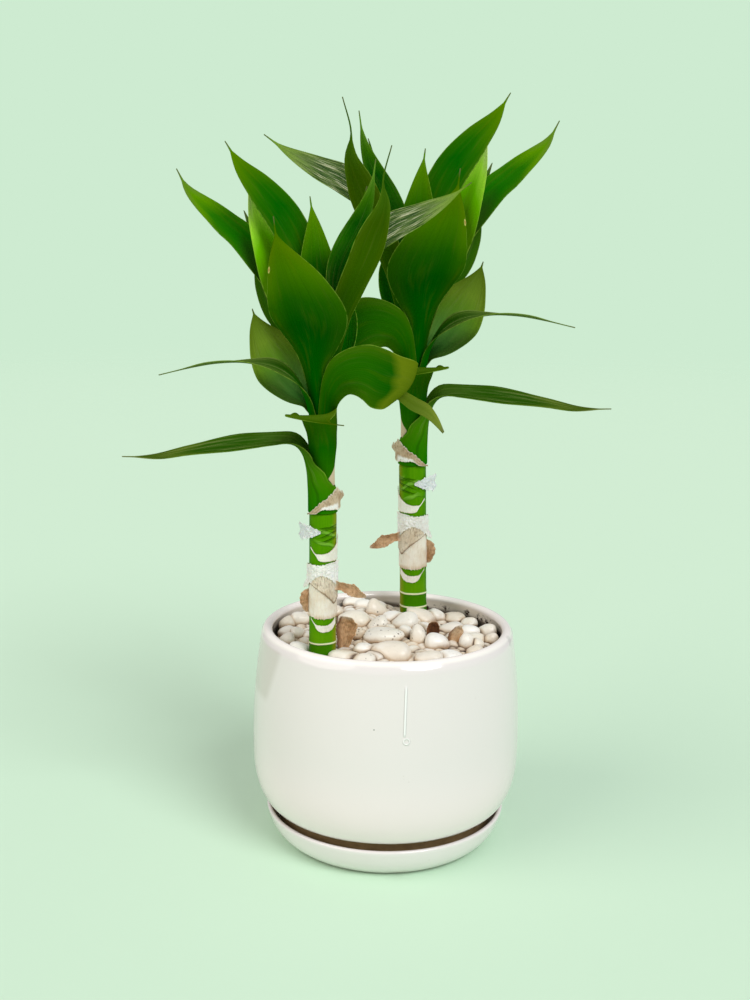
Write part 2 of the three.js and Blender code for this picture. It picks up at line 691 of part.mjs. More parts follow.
// Curled shreds of dry leaf standing among the pebbles, in the pot's own frame
const scraps = {
  curl: {
    edges: [[-25.4, -27.5, 117, -23.4, -27, 117], [-26.8, -30, 124.2, -23.2, -28.5, 124.4],
      [-28, -31.2, 131, -20, -28.5, 131], [-28.8, -31.4, 136.6, -18.1, -27.6, 137.4],
      [-28.8, -30.6, 142.4, -19.6, -27.4, 142.8]],
    bow: 0.26, steps: 5,
  },
  shred: {
    edges: [[37.6, -16, 117, 41.4, -15, 117], [36, -17.4, 123, 43, -15.6, 123],
      [35.4, -18, 128.4, 44.2, -16, 129], [39, -17.6, 132.6, 43.6, -16.4, 134]],
    bow: 0.24, steps: 4, strips: 3,
  },
  chip: {
    edges: [[25, -7, 117, 29, -6.4, 117], [23.8, -8, 125, 30.4, -7, 125], [23.6, -8, 129.5, 30.8, -7, 130],
      [25, -7.6, 132.6, 29.4, -7, 132.8]],
    bow: 0.3, steps: 4,
  },
};

const luckyBamboo = new THREE.Group();
luckyBamboo.name = "lucky_bamboo";
luckyBamboo.add(saucer(), pot(), soil());
const room = 1.5 * gap;
const shifts = [[0, 0, 0], [room, 0, 0], [-room, 0, 0], [0, room, 0], [0, -room, 0], [0, 0, -room]];
const slots = Object.values(scraps).flatMap((scrap) =>
  shifts.map((shift) => leafSolid(scrap).translate(shift)),
);
const bed = largest(slots.reduce((left, slot) => left.subtract(slot), pebbleBed()));
luckyBamboo.add(pieceOf("pebbles", geometryFrom(bed), finish.stone));
for (const [name, scrap] of Object.entries(scraps)) {
  luckyBamboo.add(pieceOf(`scrap_${name}`, geometryFrom(leafSolid(scrap)), finish.dry));
}
for (const plant of plants) luckyBamboo.add(plantPieces(plant));

export default luckyBamboo;
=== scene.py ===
# Lucky bamboo in a white glazed pot: the looks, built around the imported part. Metres, +Z up.
from math import cos, exp, hypot, pi, radians, sin, sqrt
import bpy
import numpy as np
from mathutils import Euler, Matrix, Vector, noise


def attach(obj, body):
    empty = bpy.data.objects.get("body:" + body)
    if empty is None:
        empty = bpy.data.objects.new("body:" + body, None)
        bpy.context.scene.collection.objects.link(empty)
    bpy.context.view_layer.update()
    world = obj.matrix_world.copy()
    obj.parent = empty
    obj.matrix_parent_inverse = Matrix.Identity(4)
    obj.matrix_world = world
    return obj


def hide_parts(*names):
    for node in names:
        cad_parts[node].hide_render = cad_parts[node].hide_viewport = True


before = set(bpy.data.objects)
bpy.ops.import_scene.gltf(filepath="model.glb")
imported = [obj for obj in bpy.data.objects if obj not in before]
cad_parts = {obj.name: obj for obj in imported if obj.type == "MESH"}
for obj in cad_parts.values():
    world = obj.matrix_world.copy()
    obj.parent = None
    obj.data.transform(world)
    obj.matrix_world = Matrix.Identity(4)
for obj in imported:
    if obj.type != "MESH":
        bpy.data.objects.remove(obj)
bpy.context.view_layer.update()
mm = 0.001
origin = (0, 0, 0)

camera = {
    "at": (-0.0082, -0.662, 0.332),
    "lens": 41.4,    # on a 36 mm frame, as tall as the picture
    "down": 10.88,   # degrees below level
    "roll": 0.72,
}


def setCamera():
    down = radians(camera["down"])
    roll = radians(camera["roll"])
    ahead = Vector((0, cos(down), -sin(down)))
    level = Vector((1, 0, 0))
    above = Vector((0, sin(down), cos(down)))
    right = level * cos(roll) + above * sin(roll)
    up = above * cos(roll) - level * sin(roll)
    bpy.ops.object.camera_add(location=camera["at"])
    made = bpy.context.object
    made.name = "mainCamera"
    made.rotation_euler = Matrix((right, up, -ahead)).transposed().to_euler()
    made.data.lens = camera["lens"]
    made.data.sensor_width = 36
    made.data.clip_start = 0.02
    bpy.context.scene.camera = made


# small sums that several pieces share
def smooth(t):
    return t * t * (3 - 2 * t)


def clamp(t):
    return min(1.0, max(0.0, t))


def mix(a, b, t):
    return a + (b - a) * t


def wave(place, scale, seed):
    # smooth noise from -1 to 1 at a place in millimetres
    x, y, z = [spot / scale for spot in place]
    return noise.noise(Vector((x + seed, y - seed, z + 2 * seed)))


def colour(*screen):
    # a colour as picked on screen, 0 to 255, as the shader wants it
    linear = [c / 255 / 12.92 if c <= 10 else ((c / 255 + 0.055) / 1.055) ** 2.4 for c in screen]
    return (*linear, 1.0)


class Signal:
    # wraps a socket, so that sums on it add their Math nodes
    def __init__(self, look, socket):
        self.look = look
        self.socket = socket

    def math(self, operation, *others):
        values = dict(enumerate((self, *others)))
        return self.look.node("ShaderNodeMath", {"operation": operation}, values)[0]

    def __add__(self, other):
        return self.math("ADD", other)

    def __sub__(self, other):
        return self.math("SUBTRACT", other)

    def __mul__(self, other):
        return self.math("MULTIPLY", other)

    def __truediv__(self, other):
        return self.math("DIVIDE", other)

    def __pow__(self, other):
        return self.math("POWER", other)

    def __abs__(self):
        return self.math("ABSOLUTE")

    def most(self, other):
        return self.math("MAXIMUM", other)

    def sine(self):
        return self.math("SINE")

    def between(self, low, high):
        # 0 at low to 1 at high, eased and clamped
        values = {"Value": self, "From Min": low, "From Max": high}
        return self.look.node("ShaderNodeMapRange", {"interpolation_type": "SMOOTHSTEP"}, values)[0]


class Look:
    # a material or the world, with one method for any node and short ones for the usual mixes
    def __init__(self, owner):
        self.owner = owner
        self.owner.use_nodes = True
        self.tree = self.owner.node_tree
        self.tree.nodes.clear()
        self.shade = None

    def node(self, kind, settings=None, inputs=None):
        made = self.tree.nodes.new(kind)
        for key, value in (settings or {}).items():
            setattr(made, key, value)
        for key, value in (inputs or {}).items():
            if isinstance(value, Signal):
                self.tree.links.new(value.socket, made.inputs[key])
            else:
                made.inputs[key].default_value = value
        return [Signal(self, socket) for socket in made.outputs]

    def place(self):
        # object coordinates, in metres
        return self.node("ShaderNodeTexCoord")[3]

    def sheet(self):
        # the UV map of a sheet, across it and along it
        return self.node("ShaderNodeTexCoord")[2]

    def split(self, vector):
        return self.node("ShaderNodeSeparateXYZ", None, {0: vector})

    def millimetres(self):
        return [axis * 1000 for axis in self.split(self.place())]

    def noise(self, vector, scale, detail=3.0, roughness=0.5, distortion=0.0):
        values = {"Vector": vector, "Scale": scale, "Detail": detail, "Roughness": roughness}
        return self.node("ShaderNodeTexNoise", None, {**values, "Distortion": distortion})[0]

    def stretched(self, vector, stretch, offset=origin):
        values = {"Vector": vector, "Scale": stretch, "Location": offset}
        return self.node("ShaderNodeMapping", None, values)[0]

    def grain(self, vector, stretch, *finish, offset=origin):
        # noise drawn out along an axis
        return self.noise(self.stretched(vector, stretch, offset), 1, *finish)

    def cells(self, vector, scale):
        return self.node("ShaderNodeTexVoronoi", None, {"Vector": vector, "Scale": scale})[0]

    def ramp(self, signal, stops):
        colours = self.node("ShaderNodeValToRGB", None, {0: signal})[0]
        elements = colours.socket.node.color_ramp.elements
        while len(elements) < len(stops):
            elements.new(0.5)
        for element, (position, shade) in zip(elements, stops.items()):
            element.position = position
            element.color = colour(*shade)
        return colours

    def blend(self, share, *shades):
        # from the first shade to the second, each a colour or a socket
        a, b = [colour(*shade) if isinstance(shade, tuple) else shade for shade in shades]
        return self.node("ShaderNodeMix", {"data_type": "RGBA"}, {0: share, 6: a, 7: b})[2]

    def paint(self, share, shade):
        # lays a shade over what the look has so far
        self.shade = self.blend(share, self.shade, shade)

    def attribute(self, name):
        return self.node("ShaderNodeAttribute", {"attribute_name": name})[2]

    def bump(self, height, distance):
        return self.node("ShaderNodeBump", None, {"Height": height, "Distance": distance})[0]

    def finish(self, **values):
        values = {key.replace("_", " "): value for key, value in values.items()}
        shader = self.node("ShaderNodeBsdfPrincipled", None, {"Base Color": self.shade, **values})
        self.node("ShaderNodeOutputMaterial", None, {"Surface": shader[0]})
        return self.owner


def newLook(name):
    return Look(bpy.data.materials.new(name))


def pick(*pieces):
    # selects these pieces and nothing else, with the first one active
    bpy.ops.object.select_all(action="DESELECT")
    for piece in pieces:
        piece.select_set(True)
    if pieces:
        bpy.context.view_layer.objects.active = pieces[0]


def handOver(piece, material, slot, *nodes):
    # gives a finished piece its looks and its place in the frame
    piece.data.materials.clear()
    piece.data.materials.append(material)
    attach(piece, "root")
    if nodes:
        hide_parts(*nodes)


def roundOff(piece, angle=50):
    pick(piece)
    bpy.ops.object.shade_smooth_by_angle(angle=radians(angle))


def joined(pieces, name):
    pick(*pieces)
    bpy.ops.object.join()
    made = bpy.context.object
    made.name = name
    return made


def spun(name, profile, turns):
    # a profile of (radius, height) in mm, drawn by extruding one corner and spun about the pot's axis
    pick()
    bpy.ops.mesh.primitive_plane_add(size=0.01, location=origin)
    piece = bpy.context.object
    piece.name = name
    bpy.ops.object.mode_set(mode="EDIT")
    bpy.ops.mesh.merge(type="CENTER")
    bpy.ops.transform.translate(value=(profile[0][0] * mm, 0, profile[0][1] * mm))
    for (r0, z0), (r1, z1) in zip(profile, profile[1:]):
        step = ((r1 - r0) * mm, 0, (z1 - z0) * mm)
        bpy.ops.mesh.extrude_region_move(TRANSFORM_OT_translate={"value": step})
    bpy.ops.mesh.select_all(action="SELECT")
    bpy.ops.mesh.spin(steps=turns, angle=2 * pi, center=origin, axis=(0, 0, 1))
    bpy.ops.mesh.select_all(action="SELECT")
    bpy.ops.mesh.remove_doubles(threshold=0.00001)
    bpy.ops.mesh.normals_make_consistent(inside=False)
    bpy.ops.object.mode_set(mode="OBJECT")
    return piece


def arcPoints(x, y, radius, start, end, steps):
    turns = [radians(mix(start, end, i / steps)) for i in range(steps + 1)]
    return [(x + radius * cos(turn), y + radius * sin(turn)) for turn in turns]


# pot and saucer
pot = {
    "radius": 80, "belly": 62, "rim": 74.2, "height": 130, "wall": 6, "skirt": 72, "skirtHeight": 24.4,
    "foot": 64, "footHeight": 5.3, "floor": (9, 15), "drain": 7, "turns": 128,
}


def potOutside(height):
    if height >= pot["belly"]:
        rise = (height - pot["belly"]) / (pot["height"] - pot["belly"])
        return mix(pot["radius"], pot["rim"], rise ** 2.1)
    fall = (pot["belly"] - height) / (pot["belly"] - pot["skirtHeight"])
    return mix(pot["radius"], pot["skirt"], fall ** 3.4)


def startGlaze(name):
    # white glaze with a few pits
    look = newLook(name)
    place = look.place()
    cloud = look.noise(place, 9, 2)
    fine = look.noise(place, 160, 4, 0.6)
    look.shade = look.blend(cloud, (229, 222, 220), (233, 226, 226))
    pits = look.cells(place, 210).between(0.10, 0.02) * look.noise(place, 40, 1).between(0.66, 0.72)
    look.paint(pits * 0.5, (150, 138, 120))
    return look, place, cloud, fine


def finishGlaze(look, roughness, height):
    return look.finish(
        Roughness=roughness, IOR=1.5, Coat_Weight=0.35, Coat_Roughness=0.04,
        Normal=look.bump(height, 0.0002),
    )


def makePotGlaze():
    look, place, cloud, fine = startGlaze("potGlaze")
    x, y, z = look.millimetres()
    radius = (x * x + y * y) ** 0.5
    front = y.between(-60, -70)
    # a run in the glaze at the front, with a drop at its end
    line = abs(x - 9.5 - (z - 100) * 0.02).between(1, 0.3) * front
    run = line * z.between(89.5, 91.5) * z.between(119, 115)
    drop = abs(((x - 10.4) ** 2 + (z - 87.5) ** 2) ** 0.5 - 1.6).between(0.7, 0.2) * front
    streaks = run.most(drop * 0.6)
    look.paint(streaks * 0.75, (252, 253, 252))
    speck = ((x + 7.2) ** 2 + (z - 94) ** 2) ** 0.5
    look.paint(speck.between(0.5, 0.2) * front, (120, 116, 108))
    # painted highlight: the lip is whitened; and the lower half is painted a little rosy against the green
    # light the floor bounces up
    look.paint(z.between(126.8, 129), (250, 244, 239))
    look.paint(z.between(75, 28) * 0.9, (243, 228, 229))
    # painted reflection: a soft grey patch on the left shoulder
    shoulderReflection = (x - (z - 124) * 0.29 + (cloud - 0.5) * 2).between(-58.5, -62.5)
    shoulderReflection = shoulderReflection * z.between(91.5, 98.5) * z.between(126.5, 124) * y.between(30, -20)
    look.paint(shoulderReflection * 0.32, (170, 158, 142))
    scuff = ((x - 71) ** 2 + (y + 22.8) ** 2 + (z - 127) ** 2) ** 0.5 + look.noise(place, 500, 2) * 4
    look.paint(scuff.between(6.2, 4.5) * 0.35, (170, 172, 166))
    # soil has splashed the inner wall, most at the back right
    inner = radius.between(71.2, 70.2) * z.between(128.5, 125.5) * z.between(100, 105)
    look.paint(inner * 0.5, (228, 220, 198))
    crumbs = look.noise(place, 110, 4, 0.7).between(0.53, 0.57) * (x * 0.7 + y).between(20, 70)
    splash = (z + look.noise(place, 90, 3) * 12).between(132.5, 128.5) * inner
    look.paint(crumbs * splash, (48, 34, 24))
    # the inner wall is darker brown lower down, toward the soil
    innerLowDark = (z + look.noise(place, 60, 3) * 6).between(126.2, 123.2) * inner
    look.paint(innerLowDark * 0.85, (84, 66, 48))
    # bare clay under the skirt
    clay = look.blend(look.noise(place, 70, 5, 0.65), (138, 112, 72), (176, 148, 104))
    bare = z.between(24.4, 23.6) * radius.between(70.4, 69.6)
    look.paint(bare, clay)
    height = fine * 0.1 + cloud * 1.2 + streaks * 3.0 + bare * fine * 6
    return finishGlaze(look, bare * 0.6 + 0.13, height)


def makeSaucerGlaze():
    look, place, cloud, fine = startGlaze("saucerGlaze")
    x, y, z = look.millimetres()
    radius = (x * x + y * y) ** 0.5
    dust = look.noise(place, 120, 5, 0.7).between(0.45, 0.75)
    dust = dust * z.between(7.5, 5.5) * radius.between(66, 64.5)
    look.paint(dust * 0.6, (120, 104, 80))
    # the foot ring is bare
    bare = z.between(1.2, 0.4) * radius.between(53.5, 54.5)
    look.paint(bare, (196, 186, 166))
    return finishGlaze(look, bare * 0.5 + dust * 0.3 + 0.13, fine * 0.1 + cloud * 1.2)


def makePot():
    foot, skirt, drain = pot["foot"], pot["skirt"], pot["drain"]
    seat = pot["footHeight"]
    under, base = pot["floor"]
    lip = pot["wall"] / 2
    outside = (26, 28.5, 31.5, 35, 39, 44, 50, 56, 62, 70, 78, 86, 94, 102, 110, 117, 123, 127)
    inside = (126, 122, 116.5, 108, 94, 78, 62, 48, 38, 31)
    profile = [
        (drain, under), (foot - 8, under), (foot - 7.4, 8.6), (foot - 7, seat + 0.5), (foot - 6.5, seat),
        (foot - 0.5, seat), (foot, seat + 0.5), (foot + 0.9, 23.2), (foot + 1.5, 23.8), (skirt - 1.6, 24.0),
        (skirt - 0.5, 24.2), (skirt, 24.9),
        *[(potOutside(height), height) for height in outside],
        *arcPoints(pot["rim"] - lip, pot["height"] - lip, lip, 8, 172, 10),
        *[(potOutside(height) - pot["wall"], height) for height in inside],
        (foot - 0.5, 23), (foot - 4, 18), (foot - 8, 15.4), (foot - 12, base), (drain, base), (drain, under),
    ]
    made = spun("glazedPot", profile, pot["turns"])
    roundOff(made)
    handOver(made, makePotGlaze(), "glaze", "pot")
    print("pot thrown")


def makeSaucer():
    profile = [
        (0, 0.6), (53, 0.6), (54, 0), (58, 0), (60, 0.4), (61.6, 1.4), (64.2, 3.4), (66.5, 5.7), (68.3, 8.2),
        (69.6, 10.8), (70.7, 13.6), (71.5, 16.4), (72, 18.2), (71.9, 18.9), (71.3, 19.3), (70.6, 19.4),
        (69.9, 19.2), (69.4, 18.5), (68.8, 16), (68.1, 12.6), (67.3, 10), (66.4, 7.8), (65.2, 5.9),
        (63.6, 5.05), (61, 5), (0, 5),
    ]
    made = spun("glazedSaucer", profile, pot["turns"])
    roundOff(made)
    handOver(made, makeSaucerGlaze(), "glaze", "saucer")
    print("saucer thrown")


# soil and pebbles
bed = {
    "seed": 41, "count": 39, "tries": 1500,   # large stones, and tries to fit in a small one
    "edge": 67.4,           # inside of the pot
    "level": 120.5,         # middles of the outermost stones
    "fill": 119.6,          # top of the soil
    "rings": 22, "turns": 72,
    "reach": (61.5, 65),    # how far out the large and the small stones are strewn
    "apart": (0.62, 0.5),   # and how near they may come, as a share of their widths
    # named stones: across, back, half length, half depth, half height, roll in the picture
    "named": [
        (-20, 58, 8.5, 7, 5.6, 0), (-6, 27, 7, 5.8, 6.5, 10), (-20, 6, 9.8, 8, 5.6, 0),
        (-7, -1, 7.8, 6.4, 3.5, -33), (4, 16, 6.9, 5.7, 4.1, 0), (10, 9, 9.2, 7.6, 5, -20),
        (22, 35, 9.8, 7, 4.8, 32), (32, 42, 6.2, 5.1, 4.4, 15), (43, 44, 8.2, 6.8, 3.8, 0),
        (39, 12, 8.5, 7, 4.6, -8), (52, 36, 5.8, 4.8, 3.7, -15), (61, 12, 6.6, 5.4, 5.3, 0),
        (50, 7, 6.3, 5.1, 4.9, 0), (46, -18, 4.4, 4.5, 6.2, 10), (61, -6, 5.2, 4.2, 3.5, -20),
        (53, -18, 3.8, 4.1, 3.5, 0), (18, -16, 4.8, 5, 8.6, 4), (29, -23, 7.2, 5.9, 5.8, 0),
        (-2, -15, 12, 8.6, 4.4, 0), (2, -40, 11.6, 8.6, 6.2, 0), (-13, -36, 6.3, 5.2, 3.7, 0),
        (-17, -13, 4.8, 4.3, 3.8, 0), (23, -46, 8.4, 6.9, 3.5, -5), (-24, -45, 8.9, 7, 3.5, 0),
        (-13, -50, 6.9, 5.4, 3.5, 0), (35, -42, 7.3, 6, 3.5, -8), (11, -7, 4.3, 4.3, 3.9, 0),
        (50, -31, 5.4, 4.8, 3.5, -15), (-53, 18, 6.7, 5.6, 5.8, 0), (-61, 15, 5.4, 4.8, 4.6, -20),
        (-60, -1, 5.4, 4.5, 3.7, -15), (-53, -6, 4.1, 4.3, 3.9, 0), (-59, -14, 5, 4.5, 3.5, -12),
        (-50, -31, 6.5, 5.4, 3.5, 8), (-14, 45, 6.7, 5.8, 4.3, 0), (-33, 23, 6.5, 5.4, 4.3, 0),
    ],
    "speckled": (0, 3, 16, 18, 21, 24, 32),   # named stones with dark specks
    "pointed": {1: -0.5, 6: 0.2, 16: -0.15, 17: -0.3, 2: 0.2, 5: 0.15},   # narrower to the right or left
}
plants = {
    "left": {"at": (-37, -36, 58), "size": 1, "side": 1, "lean": (0, 0, 0), "bulge": 5},
    "right": {"at": (18.6, 46, 59), "size": 1.1, "side": -1, "lean": (2, -1.4, 0), "bulge": 8},
}
cane = {"radius": 7.6, "rings": (64, 72), "ridge": 0.2, "turns": 40}


def heap(x, y):
    # the stones are heaped in the middle, highest at the back left and lowest at the back right
    def hump(across, back, width):
        return exp(-(across ** 2 + back ** 2) / width ** 2)
    return 4.2 * (1 - (x * x + y * y) / 4900) + 5.5 * hump(x + 22, y - 22, 32) - 4 * hump(x - 45, y - 30, 25)


def soilLevel(x, y):
    return bed["fill"] + 0.7 * max(heap(x, y), -2.5)


def stonePlaces():
    state = bed["seed"]
    places = []

    def draw():
        nonlocal state
        state = state * 16807 % 2147483647
        return state / 2147483647

    def strewn(reach):
        reach *= sqrt(draw())
        bearing = 2 * pi * draw()
        return reach * cos(bearing), reach * sin(bearing)

    def clearOf(x, y, wide, share):
        if any(hypot(x - p[0], y - p[1]) < share * (wide + p[3]) for p in places):
            return False
        for plant in plants.values():
            away = hypot(x - plant["at"][0], y - plant["at"][1])
            if away < cane["radius"] * plant["size"] + 0.55 * wide:
                return False
        return True

    for x, y, long, wide, high, roll in bed["named"]:
        places.append((x, y, long, wide, high, 0, roll, 14 * (draw() - 0.5), 1.2))
    while len(places) < bed["count"]:
        x, y = strewn(bed["reach"][0])
        long = 5.4 + 3.6 * draw()
        wide = long * (0.66 + 0.24 * draw())
        turn = 180 * draw()
        high = wide * (0.62 + 0.2 * draw())
        lean = 36 * (draw() - 0.5)
        lift = -1.6 + 2 * draw()
        if clearOf(x, y, wide, bed["apart"][0]):
            places.append((x, y, long, wide, high, turn, 0, lean, lift))
    # small stones fill the gaps between the large ones
    for _ in range(bed["tries"]):
        x, y = strewn(bed["reach"][1])
        long = 3.4 + 3.0 * draw()
        wide = long * (0.7 + 0.2 * draw())
        turn = 180 * draw()
        if clearOf(x, y, wide, bed["apart"][1]):
            places.append((x, y, long, wide, 0.75 * wide, turn, 0, 50 * (draw() - 0.5), -2.6))
    return places


def makeStoneLook():
    look = newLook("creamPebbles")
    place = look.place()
    look.shade = look.ramp(look.attribute("stoneTint"), {
        0.0: (247, 246, 238), 0.25: (238, 232, 216), 0.45: (250, 250, 246), 0.65: (230, 220, 202),
        0.85: (243, 239, 228), 1.0: (222, 209, 186),
    })
    veil = look.noise(place, 60, 4, 0.6)
    look.paint(veil.between(0.4, 0.75) * 0.25, (234, 218, 194))
    look.paint(look.noise(place, 130, 3).between(0.5, 0.8) * 0.5, (255, 253, 248))
    # dark specks, on the speckled stones above all, small holes and rust
    dots = look.cells(place, 420).between(0.32, 0.18) * look.noise(place, 150, 2).between(0.44, 0.56)
    dots = dots * look.noise(place, 60, 1).between(0.36, 0.56)
    look.paint(dots * (look.attribute("stoneSpecks") * 0.75 + 0.1), (84, 64, 44))
    holes = look.cells(place, 130).between(0.085, 0.06) * look.noise(place, 45, 1).between(0.52, 0.56)
    look.paint(holes * 0.9, (40, 26, 18))
    rust = look.noise(place, 48, 3, 0.6).between(0.60, 0.70) * look.noise(place, 160, 3).between(0.42, 0.6)
    look.paint(rust * 0.45, (176, 120, 76))
    # painted shade: the stones' lower sides are darker and browner, as if lit from above
    wearAndShade = look.attribute("stoneSide") + (veil - 0.5) * 1.6
    look.paint(wearAndShade.between(0.6, 0.0) * 0.35, (228, 208, 180))
    look.paint(wearAndShade.between(0.2, -0.5) * 0.8, (146, 102, 66))
    # painted shade where two stones touch, and where a stone meets the soil
    contactShade = look.attribute("stoneNear") + (veil - 0.5) * 1.2 + (look.noise(place, 28, 2) - 0.5) * 3.4
    look.paint(contactShade.between(2.2, 0.4) * 0.6, (192, 164, 128))
    look.paint(contactShade.between(0.9, -0.1) * 0.85, (84, 56, 36))
    return look.finish(
        Roughness=veil * 0.2 + 0.22,
        Specular_IOR_Level=0.5,
        Normal=look.bump(look.noise(place, 300, 4, 0.6) * 0.4 + veil - holes * 2, 0.0003),
    )


def mark(piece, name, values):
    # a number on each corner, for the look to read
    piece.data.attributes.new(name, "FLOAT", "POINT").data.foreach_set("value", values)


def makeStones():
    pick()
    patterns = []
    for fineness in (4, 3):
        bpy.ops.mesh.primitive_ico_sphere_add(subdivisions=fineness, radius=1, location=origin)
        patterns.append(bpy.context.object)
    made = []
    forms = []
    for number, (x, y, long, wide, high, turn, roll, lean, lift) in enumerate(stonePlaces()):
        pattern = patterns[0] if number < bed["count"] else patterns[1]
        stone = pattern.copy()
        stone.data = pattern.data.copy()
        bpy.context.collection.objects.link(stone)
        seed = number * 3.7
        lie = Euler((radians(lean), radians(roll), radians(turn)))
        pointed = bed["pointed"].get(number, 0.24 * sin(number * 2.4))
        middle = Vector((x, y, bed["level"] + heap(x, y) + lift))
        sides = []
        for corner in stone.data.vertices:
            out = corner.co.copy()
            swell = 1 + 0.16 * noise.noise(out * 0.8 + Vector((seed, 0, 0)))
            swell += 0.03 * noise.noise(out * 2.2 + Vector((0, seed, 0)))
            # river stones are blunter than an egg
            blunt = 1 / sum(abs(side) ** 2.6 for side in out) ** (1 / 2.6)
            narrow = 1 + pointed * out.x
            spot = Vector((out.x * long, out.y * wide * narrow, out.z * high * narrow)) * swell
            spot *= mix(1, blunt, 0.6)
            spot.rotate(lie)
            sides.append(spot.z / high)
            spot += middle
            reach = hypot(spot.x, spot.y)
            if reach > bed["edge"]:
                spot.x *= bed["edge"] / reach
                spot.y *= bed["edge"] / reach
            corner.co = spot * mm
        corners = len(stone.data.vertices)
        mark(stone, "stoneTint", [(number * 0.618) % 1] * corners)
        mark(stone, "stoneSpecks", [float(number in bed["speckled"])] * corners)
        mark(stone, "stoneSide", sides)
        forms.append((np.array(middle), np.array(lie.to_matrix()), np.array((long, wide, high))))
        made.append(stone)
    for pattern in patterns:
        bpy.data.objects.remove(pattern)
    # how far each corner is from the soil and the nearest other stone, in mm, which the look turns into
    # painted contact shade
    for stone, (own, _, size) in zip(made, forms):
        corners = np.array([corner.co for corner in stone.data.vertices]) / mm
        nearest = np.array([z - soilLevel(x, y) for x, y, z in corners])
        for middle, lie, radii in forms:
            if middle is not own and np.linalg.norm(middle - own) < max(radii) + max(size) + 3:
                inside = np.linalg.norm((corners - middle) @ lie / radii, axis=1)
                nearest = np.minimum(nearest, (inside - 1) * min(radii))
        mark(stone, "stoneNear", nearest)
    stones = joined(made, "pebbleBed")
    roundOff(stones, 80)
    handOver(stones, makeStoneLook(), "pebble", "pebbles")
    print("pebbles laid:", len(made))


def makeSoilLook():
    look = newLook("pottingSoil")
    place = look.place()
    clods = look.noise(place, 120, 6, 0.7)
    crumbs = look.cells(place, 380)
    look.shade = look.ramp(clods, {0.3: (30, 20, 13), 0.55: (62, 44, 30), 0.75: (96, 72, 50)})
    look.paint(crumbs.between(0.3, 0.1) * 0.4, (120, 96, 70))
    rise = clods + crumbs * 0.5
    return look.finish(Roughness=0.95, Specular_IOR_Level=0.2, Normal=look.bump(rise, 0.0015))


def makeSoil():
    # the fill, with a crumbly top between the stones
    fill, edge = bed["fill"], bed["edge"]
    wall = pot["wall"] + 0.4
    side = [(potOutside(height) - wall, height) for height in (31, 62, 90)]
    top = [(edge * (1 - k / bed["rings"]), fill) for k in range(bed["rings"])]
    profile = [(0, 15.3), (55.6, 15.3), (61.6, 20.1), *side, (67.6, 116.5), *top, (0, fill)]
    made = spun("pottedSoil", profile, bed["turns"])
    for corner in made.data.vertices:
        if corner.co.z > (fill - 0.6) * mm:
            place = corner.co / mm
            rise = 1.1 * wave(place, 9, 3) + 0.8 * wave(place, 3.2, 7)
            corner.co.z = (soilLevel(place.x, place.y) + rise) * mm
    roundOff(made, 80)
    handOver(made, makeSoilLook(), "soil", "soil")
    print("soil filled")


# canes
def planted(points, plant):
    # from a plant's own millimetres to metres in the pot
    around = Euler([radians(turn) for turn in plant["lean"]], "XYZ").to_matrix()
    scale = np.array([plant["side"], 1, 1]) * plant["size"]
    placed = (np.asarray(points, float) * scale) @ np.array(around).T + np.array(plant["at"])
    return placed * mm


def setCorners(piece, points):
    piece.data.vertices.foreach_set("co", np.asarray(points, np.float32).reshape(-1))
    piece.data.update()


def strongest(signals):
    most = signals[0]
    for signal in signals[1:]:
        most = most.most(signal)
    return most


def makeCaneLook(side):
    look = newLook(side + "CaneGreen")
    plant = plants[side]
    place = look.place()
    x, _, z = look.millimetres()
    # height on this cane, and place across it
    height = (z - plant["at"][2]) / plant["size"]
    aside = sin(radians(plant["lean"][1]))
    across = ((x - plant["at"][0]) / plant["size"] - height * aside) * plant["side"]
    wander = look.grain(place, (60, 60, 14), 2)
    fine = look.grain(place, (900, 900, 26), 3, 0.6)
    long = look.grain(place, (160, 160, 9), 2)
    look.shade = look.blend(fine.between(0.3, 0.75) * 0.5, (74, 138, 0), (96, 154, 6))
    look.paint(long.between(0.45, 0.7) * 0.4, (54, 120, 0))
    look.paint(height.between(84, 76) * 0.5, (104, 160, 12))
    look.paint(height.between(72.2, 71.6) * 0.75, (44, 112, 0))
    look.paint(across.between(4.8, 7.6) * 0.6, (150, 136, 26))
    look.paint(across.between(-5.5, -7.4) * 0.35, (52, 110, 0))
    look.paint(height.between(150, 190) * 0.6, (16, 92, 0))
    # a creased sheath under the curl: level, tilt and arch of each crease
    creases = ((130.4, 0.12, 0.035), (133.2, 0.3, 0.02), (136.6, 0.42, 0.0), (138.2, 0.1, -0.02))
    crease = strongest([
        abs(height - level - across * tilt - across * across * arch + (wander - 0.5) * 3.4).between(0.9, 0.1)
        for level, tilt, arch in creases
    ]) * across.between(-5, 4)
    # painted shade along the creases
    look.paint(crease * 0.55, (46, 92, 6))
    slant = height + across * 0.5 + (wander - 0.5) * 3
    sheath = height.between(125.5, 128.5) * height.between(141.5, 138)
    sheen = sheath * (slant * 0.9 + wander * 9).sine().between(0.3, 0.95)
    look.paint(sheen * across.between(-6, 0) * 0.4, (150, 204, 78))
    ring = strongest([
        abs(height - level + (wander - 0.5) * 1.4 - across * 0.02).between(0.7, 0.3)
        for level in cane["rings"]
    ])
    look.paint(ring, (228, 232, 190))
    speck = look.cells(look.stretched(place, (260, 260, 120)), 1).between(0.10, 0.04)
    look.paint(speck * long.between(0.5, 0.6) * 0.5, (150, 120, 40))
    look.paint(height.between(1.0, 0.0), (206, 190, 140))
    return look.finish(
        Roughness=ring * 0.35 + 0.36,
        Specular_IOR_Level=0.02,
        Normal=look.bump(fine * 0.3 + ring * 1.2 - crease * 3.5 + sheen * 1.5 + long * 0.6, 0.0003),
    )


